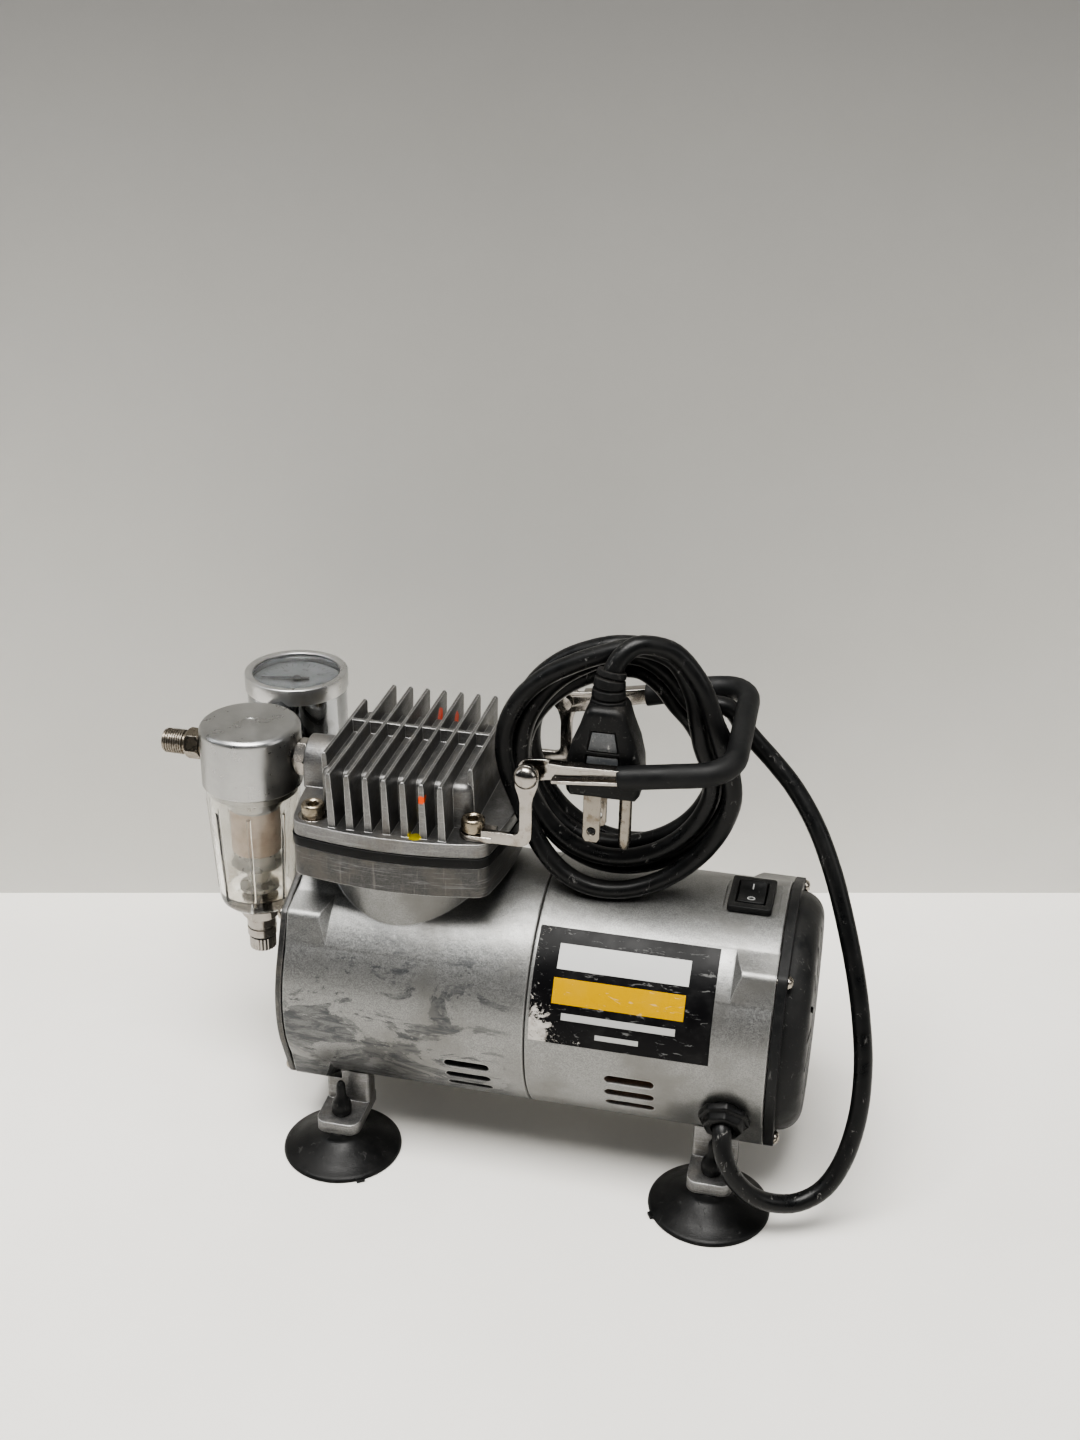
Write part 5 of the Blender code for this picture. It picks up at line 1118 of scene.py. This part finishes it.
def drain():
    profile = [(0, 88), (2.9, 88), (2.9, 83.2), (7.4, 83.2), (7.6, 82.6), (7.6, 79.6), (6.4, 79.2),
               (6.4, 75.6), (5.9, 75.2), (5.9, 71.0), (5.4, 70.7), (5.4, 70.1), (5.9, 69.8),
               (5.9, 66.6), (5.5, 66.2), (0, 66.2)]
    item = lathe("drain_body", profile, FILTER, 64)
    add(item, hexagon("drain_hex", 7.9, 75.2, 79.4, FILTER))
    cut(item, rod("drain_bore", 2.3, 11, FILTER @ at(0, 0, 60), 32))
    finish(item, NICKEL, "nickelled_brass", "drain_valve")
    crests, roots = oval(5.45, 5.45, 44), oval(5.05, 5.05, 44)
    outline = [(crests if number % 2 else roots)[number] for number in range(44)]
    knob = slab("drain_thumbscrew", [outline], 5.4, FILTER @ at(0, 0, 60.1))
    add(knob, rod("stem", 2.0, 5, FILTER @ at(0, 0, 65), 32))
    finish(rounded(knob, 0.25, 2, 60), NICKEL, "nickelled_brass", "drain_knob", body="drain")
    ring = [(5.1, 66.1), (5.4, 65.95), (5.5, 65.85), (5.4, 65.7), (4.6, 65.62), (4.6, 66.1)]
    finish(lathe("drain_ring", ring, FILTER, 48), GASKET, "black_rubber", body="drain")


GAUGE = at(FILTER_X, GAUGE_Y, 0)
CARD_Z, TICK_R, NUMBER_R = 155.2, 15.6, 10.4


def gauge():
    base, top = 134.0, 160.4
    profile = [(20.3, top - 1.4), (20.3, base + 2.6), (19.7, base + 1.0), (18.2, base), (0, base),
               (0, base + 2), (18.9, base + 2), (18.9, top - 3.2), (19.6, top - 1.4)]
    case = lathe("gauge_can", profile, GAUGE, 160)
    ring = [(20.5, top), (20.85, top - 0.15), (21.0, top - 0.5), (21.0, top - 6.6), (20.8, top - 7.0),
            (20.35, top - 7.0), (20.35, top - 1.3), (18.5, top - 1.5), (18.2, top - 2.2),
            (17.7, top - 2.2), (17.7, top - 0.9), (17.9, top - 0.35), (18.4, top - 0.1)]
    finish(lathe("gauge_bezel", ring, GAUGE, 160), GAUGE_RING, "chrome", sharp=28)
    add(case, rod("stem", 4.85, 18, at(FILTER_X, 33, PORT_Z) @ FACE_Y, 48))
    add(case, hexagon("flats", 7.2, 0.5, 7.0, at(FILTER_X, 32.2, PORT_Z) @ FACE_Y))
    finish(case, CHROME, "chrome", "gauge_case", sharp=28)
    card = rod("gauge_card", 18.5, 0.8, GAUGE @ at(0, 0, CARD_Z - 0.8), 96)
    finish(card, DIAL, "dial_face", "gauge_dial")
    dial_marks()
    turn = GAUGE @ at(0, 0, CARD_Z + 0.8) @ spin(190)
    outline = [(-5, -0.7), (0, -0.8), (14.5, -0.18), (14.5, 0.18), (0, 0.8), (-5, 0.7)]
    pointer = slab("dial_pointer", [outline], 0.4, turn)
    add(pointer, lathe("hub", [(0, 1.1), (1.3, 0.9), (1.8, 0.3), (1.8, -0.3), (0, -0.3)], turn, 32))
    finish(pointer, INK, "black_plastic", "gauge_needle", body="needle")
    window = [(0, 159.5), (10, 159.4), (17.6, 159.1), (17.6, 158.2), (0, 158.2)]
    finish(lathe("gauge_window", window, GAUGE, 96), LENS, "clear_plastic", "gauge_lens")


def dial_marks():
    """Plain ticks every 9 degrees, longer at each fifth, and a number every 45 degrees."""
    shape = bmesh.new()
    for number in range(31):
        length = 1.6 if number % 5 else 3.0
        tick = brick("tick", (TICK_R - length, -0.14, 0), (TICK_R, 0.14, 0.06),
                     GAUGE @ at(0, 0, CARD_Z) @ spin(225 - 9 * number))
        shape.from_mesh(tick.data)
        drop(tick)
    mesh = bpy.data.meshes.new("dial_ticks")
    shape.to_mesh(mesh)
    shape.free()
    finish(put("dial_ticks", mesh), INK, "dial_face")
    for number in range(7):
        angle = math.radians(225 - 45 * number)
        place = GAUGE @ at(NUMBER_R * math.cos(angle), NUMBER_R * math.sin(angle), CARD_Z + 0.02)
        numeral(f"dial_number_{number}", str(number * 20), place)


def numeral(name, text, place):
    curve = bpy.data.curves.new(name, 'FONT')
    curve.body = text
    curve.size = 2.5
    curve.align_x = curve.align_y = 'CENTER'
    curve.extrude = 0.04
    item = put(name, curve)
    mesh = baked(item)
    drop(item)
    mesh.transform(TO_WORLD @ place)
    finish(put(name, mesh), INK, "dial_face")


# ------------------------------------------------------------------ cord and plug
CORD_ROUTE = [(74.4, -51.9, 43.5), (75.6, -55.5, 37.5), (79.0, -57.0, 29.5), (85.5, -56.0, 21.0),
              (94.0, -53.0, 15.6), (104.0, -49.0, 14.4), (113.0, -44.5, 19.5), (119.0, -39.5, 31.0),
              (122.0, -34.0, 47.0), (121.8, -28.0, 64.0), (119.2, -22.0, 80.0), (115.2, -16.0, 96.0),
              (109.5, -9.0, 113.0), (103.0, -2.0, 129.0), (95.4, 5.0, 142.5), (86.5, 11.0, 153.5),
              (78.5, 14.5, 161.0), (73.4, 15.8, 165.6)]
# places of the coil's passes in its bundle: how far inside the outline, and Y
PASSES = [(7.6, 13.6), (1.2, 10.0), (8.2, 6.3), (1.2, 2.6), (6.9, -2.9), (-0.6, -6.6)]
COIL_START, COIL_END = 48.0, 68.0 + 5 * 360.0
HANDLE_SWEEP = 67.5


def swell(angle, centre, width, height):
    return height * math.exp(-((angle - centre) / width) ** 2)


def on_coil(angle, radius):
    """(X, Z) of a place on the coil."""
    return (COIL[0] + radius * math.cos(math.radians(angle)),
            COIL[1] + radius * math.sin(math.radians(angle)))


def coil_radius(angle):
    """Outer radius of the coil: pressed in by the head, high where it goes over the top."""
    angle %= 360
    reach = 46.5 - swell(angle, 22, 20, 2.5) + swell(angle, 72, 24, 10)
    if not 17 < angle < 150:
        return reach
    direction = Vector((math.cos(math.radians(angle)), math.sin(math.radians(angle))))
    offset = Vector((COIL[0] - PIVOT.x, COIL[1] - PIVOT.z))
    along = offset.dot(direction)
    return min(reach, math.sqrt(along ** 2 + HANDLE_SWEEP ** 2 - offset.length_squared) - along)


def ease(value):
    value = min(1.0, max(0.0, value))
    return value * value * (3 - 2 * value)


def coil_points():
    """Wind the passes one after another, easing from each place in the bundle to the next."""
    points = []
    share = (COIL_END - COIL_START) / len(PASSES)
    count = round((COIL_END - COIL_START) / 15)
    for index in range(count + 1):
        angle = COIL_START + (COIL_END - COIL_START) * index / count
        along = (angle - COIL_START) / share
        lane = min(int(along), len(PASSES) - 1)
        inset, y = PASSES[lane]
        if lane + 1 < len(PASSES):
            change = ease((along - lane - 0.62) / 0.38)
            inset += (PASSES[lane + 1][0] - inset) * change
            y += (PASSES[lane + 1][1] - y) * change
        last = ease((along - 4.45) / 0.35)
        inset += swell(angle % 360, 63, 28, 10.5) * (1 - last) - last * swell(angle % 360, 262, 40, 2.2)
        inset += 0.9 * math.sin(math.radians(angle * 1.37)) * (1 if lane in (0, 2) else 0.3)
        y -= swell(angle % 360, 262, 42, 3.0 + 4.0 * last)
        inset += swell(angle % 360, 208, 34, 5.4) * max(0.25, 1 - max(0, inset) / 8)
        x, z = on_coil(angle, coil_radius(angle) - CORD_R - inset)
        points.append((x, y, z))
    return points


RELIEF_ROUTE = [(31.2, -10.6, 213.6), (25.6, -13.6, 211.2), (22.2, -16.2, 206.0), (21.2, -17.8, 199.0)]


def cord(pieces):
    inside = [(74.4, -45.4, 46.2)]
    meet = [(69.6, 16.4, 169.2), (65.0, 16.4, 174.3), (59.0, 15.4, 181.4)]
    line = smooth(inside + CORD_ROUTE + meet + coil_points() + RELIEF_ROUTE, 2.6)
    curve = bpy.data.curves.new("mains_cord", 'CURVE')
    curve.dimensions = '3D'
    curve.bevel_depth = CORD_R * 0.001
    curve.bevel_resolution = 6
    curve.use_fill_caps = True
    spline = curve.splines.new('POLY')
    spline.points.add(len(line) - 1)
    for point, place in zip(spline.points, line):
        point.co = (*world(place), 1)
    spline.use_smooth = True
    curve.materials.append(CORD)
    item = put("mains_cord", curve)
    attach(item, "housing")
    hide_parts("power_cord", "cord_coil")


def trapezoid(low, high, low_half, high_half):
    return [(-low_half, low), (low_half, low), (high_half, high), (-high_half, high)]


def plug_moulding():
    """Plug body with two raised panels on each side; gives back the body and its panels."""
    x, y, z = PLUG
    half_thick = 8.1
    right = [(11.8, 0), (13.2, 2.0), (13.6, 6.0), (13.2, 14.0), (11.4, 21.5), (8.8, 28.0), (7.4, 32.5),
             (6.6, 35.5)]
    outline = right + [(-across, up) for across, up in reversed(right)]
    body = slab("plug_moulding", [outline], 2 * half_thick, at(x, y + half_thick, z) @ FACE_Y)
    body = rounded(body, 3.0, 5, 60)
    panels = (("18", trapezoid(18.8, 27.0, 5.9, 4.5), trapezoid(19.3, 26.5, 5.25, 4.0)),
              ("8", trapezoid(8.4, 17.6, 7.0, 6.0), trapezoid(8.9, 17.1, 6.35, 5.45)))
    pieces = []
    for number, outer, inner in panels:
        for face, side in (("front", -1), ("back", 1)):
            skin = y + side * half_thick
            cut(body, slab("groove", [outer, inner[::-1]], 1.4, at(x, skin + 0.7, z) @ FACE_Y))
            lift = 0.40 if side < 0 else 0.05
            raised = slab(f"plug_panel_{face}_{number}", [inner], 0.45, at(x, skin + lift, z) @ FACE_Y)
            pieces.append(finish(rounded(raised, 0.2, 2, 50), PANEL, "black_plastic"))
    return pieces + [finish(body, MOULDING, "black_plastic", "plug_body", sharp=40)]


def plug_relief():
    """Strain relief with grooves, thinner towards the cord."""
    route = smooth([(21.0, -18.0, 190.5), (21.0, -17.9, 195.6), (21.2, -17.6, 201.2),
                    (21.8, -16.7, 205.4)], 0.4)
    scales = []
    for index in range(len(route)):
        t = index / (len(route) - 1)
        groove = abs((t * 4.2) % 1.0 - 0.5) < 0.13 and 0.2 < t < 0.97
        scales.append(6.7 - 1.5 * t - (1.1 if groove else 0.0))
    relief = sweep("plug_relief", route, oval(0.86, 1.0, 48), (1, 0, 0), scales)
    return finish(relief, MOULDING, "black_plastic", sharp=50)


def plug_contacts():
    x, y, z = PLUG
    outline = [(-3.15, 2.0), (-3.15, -16.2), (-2.2, -17.9), (2.2, -17.9), (3.15, -16.2), (3.15, 2.0)]
    pieces = []
    for node, side in (("plug_blade_front", -1), ("plug_blade_back", 1)):
        place = at(x - 3.45, y + side * 6.35, z)
        blade = slab(node + "_strip", [outline], 1.5, place @ at(0, 0.75, 0) @ FACE_Y)
        cut(blade, rod("blade_hole", 1.55, 6, place @ at(0, 3, -13.4) @ FACE_Y, 32))
        pieces.append(finish(rounded(blade, 0.35, 3, 40), CONTACT, "nickel_plate", node))
    profile = [(0, -23.4), (0.9, -23.1), (1.7, -22.2), (2.2, -20.4), (2.35, -18.0), (2.35, 2.0), (0, 2.0)]
    pin = lathe("plug_earth_pin", profile, at(x + 7.6, y, z), 48)
    return pieces + [finish(pin, CONTACT, "nickel_plate", "plug_ground_pin")]


# ------------------------------------------------------------------ inner pieces
def inner_pieces():
    """Sealed pieces keep their CAD shape and take their material."""
    looks = {"stator": COPPER, "rotor": STEEL, "cooling_fan": BLACK, "crank_eccentric": STEEL,
             "piston_rod": CAST, "front_bearing": STEEL, "rear_bearing": STEEL}
    for node, material in looks.items():
        item = bpy.data.objects[node]
        item.data.materials.clear()
        item.data.materials.append(material)


# ------------------------------------------------------------------ stage
def surface(name, base, shade, scale, rough, flecks, painted_height_shade=0.0):
    """Painted board with clouds and flecks; its last argument paints shade that darkens it with height."""
    s = Mat(name)
    cloud = s.noise(scale, 6, 0.6)
    fine = s.noise(0.05, 4, 0.6, None, 0, 11.0)
    colour = s.mix(s.span(cloud, 0.35, 0.7), base, shade)
    dust = s.span(s.noise(0.5, 5, 0.7, None, 0.4, 19.0), flecks, flecks + 0.03)
    colour = s.mix(dust, colour, (0.42, 0.41, 0.40), 0.5)
    # painted shade: darker with height, standing for the light falling off up the wall
    if painted_height_shade:
        colour = s.mix(s.span(s.z, 0, 420, 0, painted_height_shade, False), colour, (0.03, 0.03, 0.03))
    return s.done(colour, rough, s.bump(fine, 0.15))


def one_sided(material):
    """Clear from behind, so that the wall doesn't hide the machine's back."""
    tree = material.node_tree
    back = tree.nodes.new("ShaderNodeNewGeometry")
    clear = tree.nodes.new("ShaderNodeBsdfTransparent")
    choose = tree.nodes.new("ShaderNodeMixShader")
    sources = (back.outputs["Backfacing"], tree.nodes["Principled BSDF"].outputs[0], clear.outputs[0])
    for source, socket in zip(sources, choose.inputs):
        tree.links.new(source, socket)
    tree.links.new(choose.outputs[0], tree.nodes["Material Output"].inputs["Surface"])
    return material


def plane(name, corners, material):
    shape = bmesh.new()
    shape.faces.new([shape.verts.new(corner) for corner in corners])
    item = to_object(name, shape)
    item.data.materials.append(material)


def stage():
    table = surface("table_top", (0.82, 0.80, 0.765), (0.77, 0.75, 0.71), 0.004, 0.62, 0.745)
    # the wall's last argument, 0.80, is painted shade that darkens it with height
    wall = surface("wall_paint", (0.62, 0.61, 0.58), (0.58, 0.57, 0.54), 0.003, 0.75, 0.80, 0.80)
    foot, reach = Vector((-42.3, 164.0, 0)), 2500
    run = Vector((520.2, 133.2, 0)).normalized() * reach
    near, up = Vector((run.y, -run.x, 0)), Vector((0, 0, 2600))
    left, right = foot - run, foot + run
    plane("table", [left + near, right + near, right - near, left - near], table)
    plane("wall", [left, right, right + up, left + up], one_sided(wall))


def area(name, place, target, size, power, colour):
    data = bpy.data.lights.new(name, 'AREA')
    data.shape = 'RECTANGLE'
    data.size, data.size_y = size
    data.energy = power
    data.color = colour
    item = put(name, data)
    item.location = world(place)
    item.rotation_euler = (world(target) - world(place)).to_track_quat('-Z', 'Y').to_euler()


def lights():
    """Soft room: a sky that is darker low down, a ceiling lamp and two weak sides."""
    sky = bpy.data.worlds.new("room")
    sky.use_nodes = True
    tree = sky.node_tree
    back = tree.nodes["Background"]
    back.inputs["Color"].default_value = (0.93, 0.96, 1.0, 1)
    coords = tree.nodes.new("ShaderNodeTexCoord")
    split = tree.nodes.new("ShaderNodeSeparateXYZ")
    ramp = tree.nodes.new("ShaderNodeMapRange")
    ramp.interpolation_type = 'SMOOTHSTEP'
    for index, value in enumerate((0.25, 0.95, 0.07, 0.42), 1):
        ramp.inputs[index].default_value = value
    tree.links.new(coords.outputs["Generated"], split.inputs[0])
    tree.links.new(split.outputs[2], ramp.inputs[0])
    tree.links.new(ramp.outputs[0], back.inputs["Strength"])
    SCENE.world = sky
    SCENE.view_settings.look = 'AgX - Medium High Contrast'
    area("ceiling", (-100, -500, 1600), (0, 0, 60), (1.2, 0.8), 50, (1.0, 0.985, 0.955))
    area("window_left", (-1500, -200, 1000), (0, 0, 80), (0.8, 1.0), 9, (0.94, 0.97, 1.0))
    area("fill_right", (1400, -300, 800), (0, 0, 80), (0.7, 0.7), 4, (1.0, 0.98, 0.95))


# ------------------------------------------------------------------ build
for make in (crankcase, motor_housing, ends, rear_cover, label, cylinder_and_gasket, head, head_screws,
             brackets, rivets, handle, feet, switch, gland, fittings, filter_cap, filter_bowl, drain,
             gauge, inner_pieces, stage, lights):
    make()
cord(plug_moulding() + [plug_relief()] + plug_contacts())
